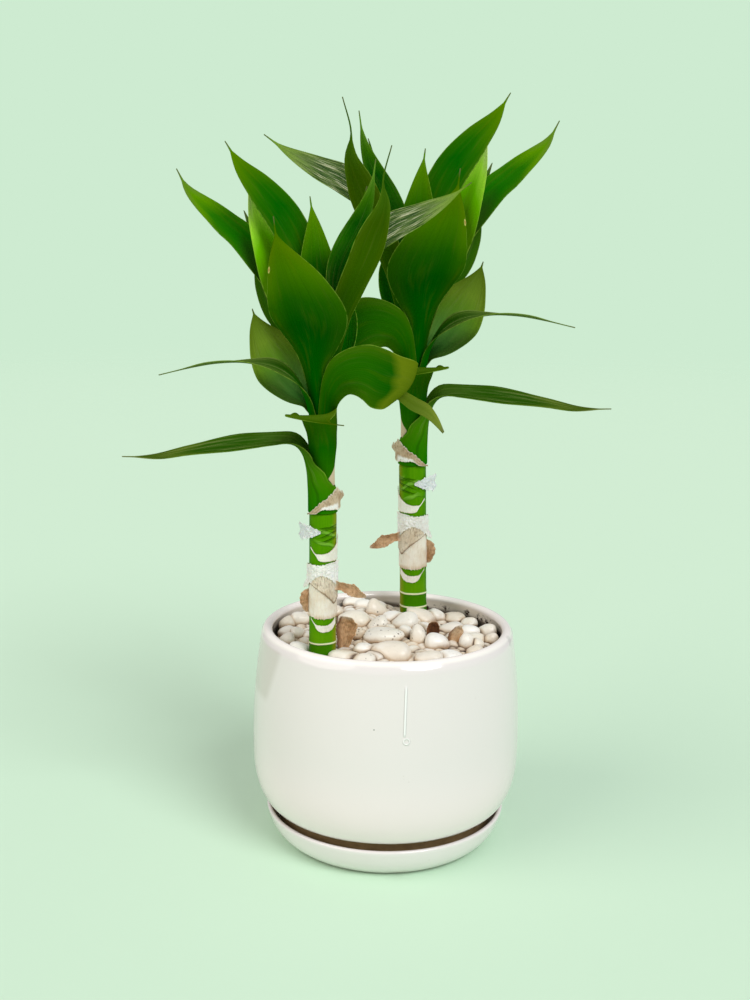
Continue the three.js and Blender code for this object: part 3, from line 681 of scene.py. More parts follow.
def makeCane(side):
    plant = plants[side]
    heights = {round(6 + 4.5 * k, 1) for k in range(31)}
    heights |= {ring + step for ring in cane["rings"] for step in (-2.2, -0.8, 0, 0.8, 2.2)}
    profile = [(0, 0), (7.0, 0), (7.6, 0.5)]
    for height in sorted(heights):
        near = min(abs(height - ring) for ring in cane["rings"])
        profile.append((cane["radius"] + cane["ridge"] * max(0, 1 - near / 2.0), height))
    # the shoot, which narrows above the cane and tapers to its tip
    profile += [
        (7.6, 145), (7.4, 146.3), (6.2, 147.4), (5.4, 148.4), (5.3, 152), (5.3, 165), (5.3, 180), (5.3, 199),
        (4.4, 214), (3.4, 230), (2.5, 246), (1.8, 256), (1.4, 262), (0.9, 263.8), (0, 264),
    ]
    made = spun(side + "Cane", profile, cane["turns"])
    corners = np.array([corner.co for corner in made.data.vertices]) / mm
    for corner, turn in zip(corners, np.arctan2(corners[:, 1], corners[:, 0])):
        place = (10 * cos(turn), 10 * sin(turn), corner[2] * 0.35)
        corner[:2] *= 1 + 0.012 * wave(place, 9, plant["bulge"])
    setCorners(made, planted(corners, plant))
    if plant["side"] < 0:
        made.data.flip_normals()
    roundOff(made, 60)
    handOver(made, makeCaneLook(side), "cane", side + "_cane")


# leaves, in the plant's own millimetres. A midrib runs from where the leaf clasps the shoot to its tip.
# The two folded leaves have pairs of points on their margins instead.
# What a leaf doesn't give for itself is as in plainLeaf.
plainLeaf = {
    "half": 13,            # half of its width
    "clasp": (42, 38),     # half angles of its section where it clasps the shoot
    "hold": 0.08,          # share of its length that clasps
    "channel": 14,         # half angle of the open blade's section
    "turn": (0, 0, 0),     # turns of the blade about its midrib, from foot to tip
    "neck": 0.1,           # share where it begins to widen,
    "widest": 0.5,         # where it is widest
    "thread": 0.97,        # and where it ends in a thread
    "full": 1.7,           # how full it stays past the widest part
    "wavy": 0.25,          # height of the margins' waves
    "fine": (44, 14),      # steps along and across
}
leafShapes = {
    "low_long": {"midrib": [
        (-8, -1, 147), (-8.2, -1.4, 160), (-9.2, -2, 172), (-11.5, -3, 180), (-16, -5, 185.5),
        (-24, -6, 187), (-38, -8, 186), (-54, -9, 184), (-72, -10, 181), (-89, -10, 178),
        (-109, -8, 177.5)],
        "half": 12, "clasp": (168, 162, 100, 55), "hold": 0.22, "channel": 12, "turn": (0, -3, -5, -2),
        "neck": 0.22, "wavy": 0.35, "fine": (60, 20)},
    "front_short": {"midrib": [
        (-0.5, -6.2, 162), (-0.7, -6.3, 172), (-0.9, -7.4, 182), (-1.5, -8.4, 191), (-3, -13, 199.5),
        (-5, -24, 203), (-5, -38, 203.6), (-1, -50, 203.4), (6, -58, 203), (13, -60, 202.5)],
        "clasp": (164, 166, 140, 75), "hold": 0.34, "channel": 8, "turn": (0, 0, -8, -10), "neck": 0.42,
        "widest": 0.64, "thread": 0.95, "wavy": 0.2, "fine": (60, 24)},
    "left_thin": {"midrib": [
        (-7.2, -2.2, 200), (-10, -4, 211), (-16, -7, 221), (-26, -10, 227.5), (-39, -12, 229.5),
        (-57, -12, 229), (-72, -10, 226), (-88, -8, 222)],
        "half": 10, "clasp": (45, 40), "hold": 0.06, "channel": 12, "turn": (0, -16, 10, -3), "neck": 0.08,
        "widest": 0.3, "wavy": 0.3},
    "right_arch": {"edges": [
        (-2.5, -7, 201, 6.2, -7.4, 201.5), (-1.5, -9.5, 211, 7.5, -10, 205),
        (0.5, -14, 222.5, 9.5, -15, 209.5), (5, -17, 232, 14, -21, 214), (14, -19, 238, 18.5, -27, 214),
        (25, -21, 240.2, 22, -30, 212), (33, -21, 238.1, 26, -31, 208.5), (41, -20, 234.5, 32, -30, 207.5),
        (50.2, -19, 230.9, 36.5, -27.5, 210), (49, -17, 227, 39, -24, 212), (42, -15, 218, 40, -19, 211.5),
        (49.4, -14.5, 212.5, 46.8, -16.5, 206), (57, -15, 208.4, 55, -16.5, 202),
        (61.5, -16, 202.5, 60.9, -17, 197.2), (65.2, -18, 194.5, 64.4, -18.2, 193.6)],
        "bow": -0.12, "fine": (84, 16)},
    "left_broad": {"midrib": [
        (-2.8, 6.8, 200.5), (-7, 9.5, 207), (-16, 12, 215), (-25, 15.5, 227), (-32, 17, 238),
        (-37, 18, 247), (-40.5, 19, 257)],
        "half": 16.5, "clasp": (42, 40), "hold": 0.06, "channel": 12, "neck": 0.08, "widest": 0.48},
    "front_big": {"midrib": [
        (-2.4, -5.9, 200), (-3.4, -7.8, 212), (-5, -11, 226), (-5.8, -17, 240), (-8.5, -24, 253),
        (-13, -30, 266), (-18.5, -34, 281), (-22, -37, 293), (-23.5, -38, 304)],
        "half": 23, "clasp": (55, 45), "channel": 20, "neck": 0.2, "widest": 0.52, "thread": 0.93,
        "fine": (56, 20)},
    "spear_front": {"midrib": [
        (4.4, -3.8, 213), (6, -6.4, 230), (9, -9.5, 252), (16, -14, 270), (22, -18, 283), (27.5, -21, 298),
        (31.5, -23, 311), (31, -25, 324), (35, -26, 340)],
        "half": 9.4, "clasp": (55, 45), "hold": 0.1, "channel": 20, "turn": (0, -20, -20), "neck": 0.12,
        "widest": 0.6, "thread": 0.86},
    "left_far": {"midrib": [
        (-3.4, 5.4, 208), (-6, 9.5, 221), (-12, 15.5, 239), (-20, 21, 256), (-27, 25, 269),
        (-36, 28, 281.5), (-47.5, 30, 296), (-55.5, 31, 302.3), (-63, 31, 308.8), (-71, 31, 315.4),
        (-77, 31, 321.5), (-83, 31, 332.4)],
        "half": 9.9, "clasp": (50, 42), "neck": 0.3, "widest": 0.62, "full": 2.4},
    "left_pale": {"midrib": [
        (-2.4, 4.6, 214), (-5.2, 8.8, 230), (-14, 14, 248), (-24, 19, 270), (-32, 22, 290),
        (-38.5, 23, 307), (-43, 23, 325)],
        "half": 12.4, "clasp": (50, 42), "neck": 0.03, "thread": 0.99},
    "back_left": {"edges": [
        (-1, 6.4, 206, 2.2, 6.2, 206), (-1, 9, 211, 3, 9.4, 211), (-2.5, 13, 216, 3, 13.4, 216),
        (-5, 18, 222, 1, 18, 222), (-9.5, 23.5, 228, -1.5, 22.5, 230), (-22, 28, 238.5, -6, 28, 246),
        (-34, 30.5, 251.5, -13, 32, 262), (-40, 33, 267.5, -20, 34.5, 275), (-41, 35, 280, -29, 36, 288),
        (-42.5, 36, 293, -39, 37, 299), (-47, 37.5, 311, -46.4, 37.5, 310.6)],
        "bow": -0.05, "fine": (44, 12)},
    "back_high": {"midrib": [
        (-0.9, 5.3, 222), (-3, 8.4, 239), (-6.5, 11.5, 262), (-11.5, 13.5, 284), (-22, 15.5, 305),
        (-35, 17, 321), (-46, 18, 333), (-54.5, 19, 346)],
        "half": 10, "widest": 0.58, "full": 2.4},
    "right_streaked": {"midrib": [
        (3.3, 3.2, 231), (4.8, 5, 243), (11, 8.4, 270), (22, 10.4, 291), (35, 10, 301), (50, 9.5, 308),
        (66, 7.5, 316.5), (78, 5, 325)],
        "half": 8.4, "channel": 8, "turn": (0, 30, 30), "widest": 0.6, "thread": 0.96},
    "back_mid": {"midrib": [
        (-0.6, 4, 239), (-1.8, 5, 252), (-3, 6.8, 269), (-4.6, 7.8, 287), (-6, 8.2, 302), (-8, 8.2, 317)],
        "half": 11.5, "channel": 18, "widest": 0.36, "thread": 0.95},
    "spear_back": {"midrib": [
        (4.1, -1.2, 240), (5, -2, 258), (7.5, -3, 276), (13.5, -4.5, 291), (20, -6, 304),
        (24.5, -7.5, 317), (27, -9, 335)],
        "half": 8.5, "channel": 30, "turn": (0, -35, -35), "thread": 0.94},
    "heart": {"midrib": [
        (1.5, 2.9, 250), (2.4, 3.4, 264), (5.8, 3.2, 281), (11.6, 2.6, 296), (18.3, 1.9, 309),
        (22.5, 1.2, 322)],
        "half": 4.4, "channel": 30, "thread": 0.95},
    "back_low": {"midrib": [
        (4.9, 4.1, 214), (8, 9, 222), (10.5, 16, 234), (12, 24, 246), (13, 30, 257), (14, 34, 268)],
        "half": 11.5, "clasp": (30, 30), "thread": 0.96},
}
leafShapes = {name: {**plainLeaf, **shape} for name, shape in leafShapes.items()}
leafLooks = {
    # how far the sides turn olive, share of streaks, strength of the ribs, colours along the leaf, with the
    # bases painted brighter against the shade they lie in
    "low_long": (0.1, 0.75, 0.6, {
        0: (24, 112, 0), 0.17: (60, 124, 2), 0.3: (58, 100, 18), 0.5: (30, 80, 0), 0.66: (34, 80, 0),
        0.76: (78, 104, 24), 0.88: (56, 84, 10), 0.97: (110, 122, 60)}),
    "front_short": (0.2, 0.03, 0.06, {
        0: (42, 106, 0), 0.2: (16, 94, 0), 0.35: (42, 98, 0), 0.5: (66, 104, 8), 0.68: (72, 108, 14),
        0.85: (48, 90, 0), 0.97: (50, 80, 4)}),
    "left_thin": (0.1, 0.8, 0.6, {
        0: (0, 108, 0), 0.15: (10, 106, 0), 0.3: (34, 86, 0), 0.5: (82, 112, 40), 0.7: (106, 130, 66),
        0.9: (104, 124, 66)}),
    "right_arch": (0.2, 0.05, 0.1, {
        0: (20, 112, 0), 0.2: (32, 96, 0), 0.38: (26, 88, 0), 0.48: (12, 80, 0), 0.53: (92, 112, 14),
        0.66: (78, 100, 10), 0.78: (92, 114, 30), 0.97: (122, 136, 52)}),
    # left_broad: greyer and bluer below the middle, painted shadow of left_thin across it; its sides painted
    # lighter olive against front_big's shadow
    "left_broad": (0.3, 0.25, 0.15, {
        0: (4, 84, 0), 0.12: (24, 100, 28), 0.28: (82, 138, 58), 0.42: (82, 130, 46), 0.55: (96, 140, 36),
        0.7: (112, 144, 40), 0.97: (84, 110, 22)}),
    "front_big": (0.12, 0.03, 0.05, {
        0: (0, 96, 0), 0.3: (0, 86, 0), 0.46: (0, 78, 0), 0.6: (28, 92, 0), 0.75: (66, 114, 0),
        0.88: (82, 118, 0), 0.97: (54, 98, 0)}),
    "spear_front": (0.15, 0.05, 0.08, {
        0: (0, 74, 0), 0.3: (34, 78, 0), 0.5: (54, 92, 0), 0.7: (52, 84, 0), 0.85: (60, 100, 14),
        0.97: (60, 86, 24)}),
    "left_far": (0.1, 0.08, 0.15, {
        0: (6, 80, 0), 0.55: (40, 88, 16), 0.66: (18, 106, 0), 0.77: (34, 112, 0), 0.86: (88, 142, 0),
        0.95: (100, 136, 40)}),
    # left_pale: painted lighter toward the tip, to make up for the shadow it lies in on the left plant
    "left_pale": (0.1, 0.08, 0.15, {
        0: (20, 90, 0), 0.6: (62, 112, 0), 0.72: (104, 186, 0), 0.84: (178, 244, 64),
        0.95: (214, 246, 138)}),
    "back_left": (0.15, 0.12, 0.2, {0: (8, 84, 0), 0.5: (26, 94, 4), 0.95: (56, 100, 20)}),
    "back_high": (0.1, 0.06, 0.08, {
        0: (6, 82, 0), 0.53: (28, 94, 0), 0.66: (2, 90, 0), 0.76: (26, 98, 0), 0.86: (64, 114, 0),
        0.95: (84, 126, 0)}),
    "right_streaked": (0.1, 1.0, 0.6, {
        0: (26, 76, 10), 0.6: (40, 74, 30), 0.75: (88, 114, 62), 0.85: (130, 160, 72),
        0.97: (112, 150, 40)}),
    "back_mid": (0.1, 0.06, 0.08, {
        0: (8, 82, 0), 0.53: (18, 86, 0), 0.65: (54, 116, 0), 0.8: (80, 134, 0), 0.95: (92, 138, 8)}),
    "spear_back": (0.1, 0.2, 0.3, {
        0: (0, 62, 0), 0.38: (0, 86, 0), 0.54: (26, 110, 0), 0.65: (0, 90, 0), 0.8: (56, 114, 2),
        0.95: (100, 144, 46)}),
    "heart": (0.15, 0.15, 0.2, {0: (14, 80, 0), 0.6: (40, 100, 0), 0.95: (58, 100, 6)}),
    # back_low: painted brighter green, against the shade it lies in
    "back_low": (0.1, 0.05, 0.1, {0: (6, 104, 0), 0.5: (8, 112, 0), 0.95: (40, 112, 6)}),
}
# thin: share of the thickness left at the margins. thread: half the width of the tip's thread
blade = {"thickness": 0.6, "thin": 0.6, "thread": 0.45, "ribs": 26}


def throughPoints(points, shares):
    # smooth curve through the given points, at shares of the way along them
    points = np.array(points, float)
    padded = np.vstack([2 * points[0] - points[1], points, 2 * points[-1] - points[-2]])
    spots = []
    for share in shares:
        place = clamp(share) * (len(points) - 1)
        i = min(int(place), len(points) - 2)
        w = place - i
        p0, p1, p2, p3 = padded[i:i + 4]
        d0, d1, d2 = [sqrt(max(np.linalg.norm(b - a), 1e-9)) for a, b in ((p0, p1), (p1, p2), (p2, p3))]
        m1 = ((p1 - p0) / d0 - (p2 - p0) / (d0 + d1) + (p2 - p1) / d1) * d1
        m2 = ((p2 - p1) / d1 - (p3 - p1) / (d1 + d2) + (p3 - p2) / d2) * d1
        bend = 3 * (p2 - p1) - 2 * m1 - m2
        spots.append(p1 + m1 * w + bend * w ** 2 + (2 * (p1 - p2) + m1 + m2) * w ** 3)
    return np.array(spots)


def evenly(points, count):
    # the same curve at even steps of its length, with its headings
    fine = throughPoints(points, np.linspace(0, 1, 900))
    run = np.concatenate([[0], np.cumsum(np.linalg.norm(np.diff(fine, axis=0), axis=1))])
    goals = np.linspace(0, run[-1], count)
    even = np.stack([np.interp(goals, run, fine[:, k]) for k in range(3)], axis=1)
    headings = np.gradient(even, axis=0)
    return even, headings / np.linalg.norm(headings, axis=1)[:, None]


def along(values, t):
    place = t * (len(values) - 1)
    i = max(0, min(len(values) - 2, int(place)))
    return mix(values[i], values[min(i + 1, len(values) - 1)], smooth(place - i))


def bladeCurl(shape, t):
    # half angle of the blade's section, wrapped round the shoot and then opened out
    if t < shape["hold"]:
        return radians(along(shape["clasp"], t / shape["hold"]))
    opened = smooth(clamp((t - shape["hold"]) / 0.18))
    return radians(mix(shape["clasp"][-1], shape["channel"], opened))


def bladeHalf(shape, t, radius):
    if t < shape["hold"]:
        return radius * bladeCurl(shape, t)
    held = radius * radians(shape["clasp"][-1])
    if t < shape["widest"]:
        spread = smooth(clamp((t - shape["neck"]) / (shape["widest"] - shape["neck"])))
        return mix(held, shape["half"], spread)
    fall = clamp((t - shape["widest"]) / (shape["thread"] - shape["widest"]))
    thread = blade["thread"] * (1 - 0.5 * clamp((t - shape["thread"]) / (1.001 - shape["thread"])))
    return max(thread, shape["half"] * (1 - fall ** shape["full"]) ** 1.15)


def bladeGrid(shape, steps, strips):
    # middle surface of a leaf: rows along the midrib, columns from margin to margin
    spots, headings = evenly(shape["midrib"], steps + 1)
    held = hypot(*[np.interp(shape["hold"] * steps, range(steps + 1), spots[:, k]) for k in (0, 1)])
    face = -spots[0] * (1, 1, 0)
    s = np.linspace(-1, 1, strips + 1)
    rows = []
    for i, (spot, heading) in enumerate(zip(spots, headings)):
        t = i / steps
        face = face - heading * face.dot(heading)
        face = face / np.linalg.norm(face)
        turn = radians(along(shape["turn"], t))
        turned = face * cos(turn) + np.cross(heading, face) * sin(turn)
        across = np.cross(turned, heading)
        radius = hypot(spot[0], spot[1]) if t < shape["hold"] else held
        half = bladeHalf(shape, t, radius)
        curl = bladeCurl(shape, t)
        lift = half * (1 - np.cos(s * curl)) / curl
        wavy = shape["wavy"] * clamp((t - shape["neck"]) * 3) * clamp((1 - t) * 4)
        lift = lift + wavy * s ** 2 * np.sin(t * 19 + np.sign(s) * 1.3 + shape["half"]) * min(1, half / 6)
        rows.append(spot + np.outer(half * np.sin(s * curl) / curl, across) + np.outer(lift, turned))
    return np.array(rows)


def edgedGrid(shape, steps, strips):
    # the same for a sheet that is given by pairs of points on its margins
    edges = np.array(shape["edges"], float)
    shares = np.linspace(0, 1, steps + 1)
    first = throughPoints(edges[:, :3], shares)
    second = throughPoints(edges[:, 3:], shares)
    way = np.gradient(first, axis=0) + np.gradient(second, axis=0)
    span = second - first
    face = np.cross(way, span)
    face /= np.linalg.norm(face, axis=1)[:, None]
    width = np.linalg.norm(span, axis=1)
    s = np.linspace(-1, 1, strips + 1)
    flat = first[:, None, :] + span[:, None, :] * ((s + 1) / 2)[None, :, None]
    return flat + face[:, None, :] * (shape["bow"] * width[:, None] * (1 - s[None, :] ** 2))[:, :, None]


def tattered(grid, depth, seed):
    # torn margins: each half of a row is drawn in or out, and the sheet is crumpled
    for row in grid:
        middle = row.mean(axis=0)
        for half, edge in ((row[: len(row) // 2], row[0]), (row[len(row) // 2:], row[-1])):
            reach = 0.7 * wave(edge, 2.3, seed) + 0.5 * wave(edge, 0.9, seed + 1)
            half += (half - middle) * depth * reach
        for spot in row:
            spot[1] += 0.7 * wave(spot, 2.4, 6) + 0.3 * wave(spot, 1.1, 4)
    return grid


def sheetPiece(name, grid, thickness, thin=1.0):
    # a grid primitive laid over the points, thickened, with its UV map along and across the blade
    steps, strips = grid.shape[0] - 1, grid.shape[1] - 1
    pick()
    bpy.ops.mesh.primitive_grid_add(x_subdivisions=strips, y_subdivisions=steps, size=2, location=origin)
    piece = bpy.context.object
    piece.name = name
    corners = np.array([corner.co for corner in piece.data.vertices])
    column = np.rint((corners[:, 0] + 1) / 2 * strips).astype(int)
    row = np.rint((corners[:, 1] + 1) / 2 * steps).astype(int)
    setCorners(piece, grid[row, column])
    thicken = piece.modifiers.new("thicken", "SOLIDIFY")
    thicken.thickness = thickness * mm
    thicken.offset = 0
    if thin < 1:
        middle = piece.vertex_groups.new(name="middle")
        for i, s in enumerate(corners[:, 0]):
            middle.add([i], 1 - s * s, "REPLACE")
        thicken.vertex_group = "middle"
        thicken.thickness_vertex_group = thin
    pick(piece)
    bpy.ops.object.modifier_apply(modifier=thicken.name)
    roundOff(piece)
    return piece


def makeLeafLook(name):
    olive, streaked, ribbed, stops = leafLooks[name]
    look = newLook("leaf_" + name)
    place, sheet = look.place(), look.sheet()
    u, v, _ = look.split(sheet)
    s = abs(u * 2 - 1)
    rank = list(leafLooks).index(name)
    drift = look.grain(sheet, (2.2, 1.6, 1), 2, offset=(rank, rank * 2.3, 0))
    lines = look.grain(sheet, (60, 2.2, 1), 4, 0.6, offset=(rank * 7.3, rank, 0))
    broad = look.grain(sheet, (15, 1.3, 1), 2, offset=(rank * 3.1, rank, 0))
    patchy = look.grain(sheet, (9, 5, 1), 3, offset=(rank * 1.7, rank, 0))
    ribs = (u * 2 * pi * blade["ribs"] + (lines - 0.5) * 4).sine() * 0.5 + 0.5
    inner = v.between(0.97, 0.8) * v.between(0.08, 0.3)
    look.shade = look.ramp(v + (drift - 0.5) * 0.16 + (s * s - 0.35) * 0.06, stops)
    look.paint(s.between(0.3, 1.0) * olive, (98, 118, 8))
    look.paint(patchy.between(0.5, 0.75) * 0.2, (88, 106, 0))
    look.paint(ribs * inner * ribbed * 0.16, (120, 146, 60))
    look.paint(lines.between(0.5, 0.75) * 0.22, (10, 52, 0))
    pale = lines.between(0.46, 0.62) * broad.between(0.42, 0.58) * patchy.between(0.38, 0.6)
    look.paint(pale * inner * streaked * 0.75, (158, 172, 104))
    look.paint(broad.between(0.44, 0.30) * streaked * 0.5, (22, 50, 8))
    if name == "right_streaked":
        # silver and dark dashes along the older half
        dashes = look.grain(sheet, (34, 9, 1), 3, 0.6, 0.3, offset=(3, 5, 0))
        look.paint(dashes.between(0.54, 0.63) * v.between(0.88, 0.7) * 0.85, (200, 202, 168))
        look.paint(dashes.between(0.46, 0.38) * v.between(0.95, 0.7), (28, 58, 30))
    midrib = s.between(0.05, 0.0) * v.between(0.1, 0.3) * ribbed
    look.paint(midrib * 0.15, (104, 132, 40))
    # the margin is a third of a millimetre of pale tissue
    thin = 0.35 / leafShapes[name]["half"]
    wearAndShade = look.grain(sheet, (3, 26, 1), 2).between(0.3, 0.6)
    edge = s.between(1 - thin * 1.6, 1 - thin * 0.6) * wearAndShade
    look.paint(edge * v.between(0.92, 0.75) * 0.5, (136, 166, 62))
    look.paint(v.between(0.955, 0.99) * 0.8, (98, 104, 62))
    fleck = look.cells(place, 170).between(0.05, 0.03) * look.noise(place, 60, 1).between(0.64, 0.67)
    look.paint(fleck * 0.7, (150, 128, 70))
    if name == "front_short":
        # a dry cream strip on the right of the sheath
        wedge = ((u - 0.6) * 0.42 - abs(v - 0.042)).between(-0.004, 0.004)
        dry = u.between(0.60, 0.62) * u.between(0.90, 0.86) * wedge
        look.paint(dry, look.blend(lines, (226, 208, 180), (196, 172, 140)))
    if name == "front_big":
        # a brown scar on the left margin, with a pale rim
        scar = (((u - 0.035) * 1.1) ** 2 + ((v - 0.77) * 2.4) ** 2) ** 0.5 + (patchy - 0.5) * 0.02
        look.paint(scar.between(0.040, 0.030), (200, 188, 104))
        look.paint(scar.between(0.022, 0.014), (150, 104, 56))
    rise = (ribs * ribbed + lines * 0.8 + broad * 1.2) * inner - midrib * 1.2
    return look.finish(Roughness=lines * 0.12 + 0.4, Specular_IOR_Level=0.0, Normal=look.bump(rise, 0.00018))


# husks: rows of bearing, lower edge, upper edge, and how far each edge stands off.
# seat is their radius, torn how ragged the lower and upper edges are
huskShapes = {
    "upper": {"seat": 9.1, "torn": (0.35, 0.9), "crumpled": 1.8, "edges": [
        (-70, 145.6, 146.4, 0, 0), (-48, 146.4, 147.6, 0, 0), (-22, 147.1, 151, 0, 0.1),
        (-1, 149.3, 154, 0.2, 0), (20, 149.4, 156.1, 0.3, 0), (43, 149.2, 159.6, 0.3, 0),
        (64, 149.1, 161, 0.3, 0), (78, 149, 159, 0.3, 1.2), (95, 149.5, 156.5, 0.4, 2.4),
        (115, 150, 155, 0.3, 0.8)]},
    "curl": {"seat": 8.2, "torn": (0.5, 0.5), "crumpled": 7, "edges": [
        (-118, 133.5, 138.5, 6, 6.5), (-100, 131, 140.5, 4.6, 5.4), (-80, 131.5, 140, 2, 2.6),
        (-50, 133, 139.4, 0.3, 0.6), (-25, 134.6, 138.3, 0, 0.2), (-6, 136, 137.2, 0, 0)]},
    "crescent": {"seat": 8.0, "torn": (0.25, 0.25), "edges": [
        (-55, 127, 127.8, 0, 0), (-27, 123.2, 124.2, 0, 0), (-14, 120.6, 124.2, 0, 0.1),
        (10, 119.9, 124.4, 0, 0.2), (32, 120, 125.6, 0, 0.2), (50, 120, 127.2, 0, 0.2),
        (78, 120.4, 130.6, 0, 0.3), (100, 121, 134, 0, 0.2)]},
    "collar": {"seat": 7.9, "edges": [
        (-165, 88, 114, 0, 0.1), (-90, 87, 116, 0, 0.1), (-53, 87.6, 116, 0, 0.1), (-15, 87, 116, 0, 0),
        (15, 86.8, 116, 0, 0), (44, 87.2, 116, 0, 0), (83, 87.8, 116, 0, 0.1), (130, 88, 116, 0, 0.1),
        (165, 88, 114, 0, 0.1)]},
    "foot": {"seat": 7.95, "torn": (0.25, 0.25), "edges": [
        (-52, 86.2, 86.7, 0, 0), (-34, 83.8, 84.4, 0, 0), (-22, 81, 83.4, 0, 0), (-8, 79.5, 83.3, 0, 0.1),
        (14, 79.3, 83.2, 0, 0.2), (34, 79.8, 84, 0, 0.2), (50, 81.2, 85.6, 0, 0.2), (64, 83.4, 87.2, 0, 0)]},
}
# over the collar lie a crumpled white ring and a wrapped shred with a slanting lower edge
wrapShapes = {
    "ring": {"seat": 8.35, "torn": (0.7, 0.4), "crumpled": 4.4, "edges": [
        (-170, 105, 115.5, 0.2, 0.3), (-125, 105, 116.2, 0.8, 0.3), (-98, 103.6, 116.7, 2.4, 0.5),
        (-75, 104.5, 117.4, 1.2, 0.3), (-53, 107.2, 118, 0.2, 0.1), (-30, 110, 117.8, 0, 0),
        (0, 112, 118, 0, 0), (30, 110, 119, 0.1, 0), (55, 107, 119.4, 0.2, 0), (83, 105.6, 119.5, 0.3, 0.1),
        (125, 106, 116.6, 0.3, 0.2), (165, 105, 115.5, 0.2, 0.2)]},
    "wrap": {"seat": 8.12, "torn": (0.3, 0.6), "crumpled": 1.6, "edges": [
        (-66, 107.6, 109.8, 0.3, 0), (-50, 106.4, 111, 0.2, 0), (-23, 104.4, 113, 0.2, 0),
        (8, 101.2, 114, 0.2, 0), (30, 98.4, 114, 0.2, 0), (50, 95.6, 113, 0.3, 0), (70, 98, 112, 0.4, 0),
        (95, 101, 111, 0.3, 0)]},
}
flapShapes = [
    {"bow": 0.14, "edges": [
        (7, -4.2, 108.4, 7, -4.2, 103.2), (13.2, -5, 107, 11.6, -5, 102.7),
        (17.7, -6, 106.5, 15, -6, 100.1), (21.1, -6.5, 103.8, 18.9, -6.5, 99.4),
        (24.7, -6, 100.2, 24.2, -6, 99.1)]},
    {"bow": 0.16, "edges": [
        (-9.3, -2.3, 102.7, -7.9, -2, 103.3), (-12.1, -2.8, 100.4, -7.9, -2, 101),
        (-12.4, -3, 96.3, -7.9, -2, 96.4), (-11.5, -2.8, 92.8, -7.9, -2, 92.3),
        (-9.8, -2.3, 89.9, -7.9, -2, 89.3)]},
]

husk = {"thickness": 0.24, "step": 2, "rows": 16}   # a column every two degrees
flap = {"thickness": 0.3, "fine": (34, 12), "torn": 0.35, "seed": 5}


def huskGrid(shape, columns, rows, seed):
    seat = shape["seat"]
    crumpled = shape.get("crumpled", 1)
    tornLow, tornHigh = shape.get("torn", (0.5, 0.5))
    grid = []
    for bearing, low, high, lowOff, highOff in throughPoints(shape["edges"], np.linspace(0, 1, columns + 1)):
        wearAndShade = min(1, 0.12 * (high - low))
        rag = wave((bearing / 2.2, seed * 9, 0), 3, 0) * 0.9 + wave((bearing / 0.9, seed * 5, 4), 2, 0) * 0.6
        high += tornHigh * wearAndShade * rag * 2
        rag = wave((bearing / 1.5, seed * 3, 8), 3, 0) + 0.6 * wave((bearing / 0.7, seed, 3), 2, 0)
        low += tornLow * wearAndShade * rag * 1.6
        angle = radians(bearing)
        waist = min(lowOff, highOff)
        line = []
        for k in range(rows + 1):
            v = k / rows
            height = mix(low, high, v)
            off = waist + (highOff - waist) * smooth(clamp((v - 0.45) / 0.55))
            off += (lowOff - waist) * smooth(clamp((0.45 - v) / 0.45))
            pucker = 0.22 * wave((bearing / 4, height, seed * 7), 3.4, 0)
            pucker += 0.12 * wave((bearing, height / 3, seed), 5, 0)
            fold = 0.3 * (crumpled - 1) * (abs(wave((bearing / 7, height * 1.3, seed * 4), 2.6, 0)) - 0.2)
            reach = seat + off + pucker * min(1, 0.4 + abs(v - 0.5)) + fold
            line.append((reach * sin(angle), -reach * cos(angle), height))
        grid.append(line)
    return np.array(grid).transpose(1, 0, 2)


huskLooks = {
    # main, second, fibre and edge colours, share of fibres, depth of the creases
    "upper": ((212, 190, 162), (186, 156, 124), (132, 98, 66), (238, 228, 212), 0.9, 2.0),
    "curl": ((242, 244, 246), (226, 230, 234), (188, 192, 194), (254, 254, 252), 0.3, 2.6),
    "crescent": ((243, 239, 230), (232, 226, 212), (206, 196, 172), (222, 208, 180), 0.3, 0.5),
    "collar": ((238, 230, 217), (226, 211, 192), (196, 170, 138), (206, 182, 152), 0.35, 0.5),
    "foot": ((243, 239, 230), (232, 226, 212), (206, 196, 172), (222, 208, 180), 0.3, 0.5),
    "ring": ((249, 247, 244), (236, 231, 224), (172, 150, 122), (246, 241, 232), 0.2, 2.6),
    "wrap": ((236, 222, 202), (216, 196, 170), (122, 92, 66), (140, 108, 80), 0.75, 2.6),
    "flap": ((216, 176, 136), (190, 142, 100), (122, 84, 54), (236, 210, 182), 0.9, 1.8),
    "curl scrap": ((234, 194, 148), (210, 162, 114), (134, 88, 54), (238, 216, 186), 0.9, 2.6),
    "shred scrap": ((236, 212, 176), (214, 172, 126), (140, 92, 54), (244, 232, 210), 0.7, 2.0),
    "chip scrap": ((158, 106, 66), (116, 72, 42), (58, 34, 20), (184, 138, 94), 1.0, 5.0),
}


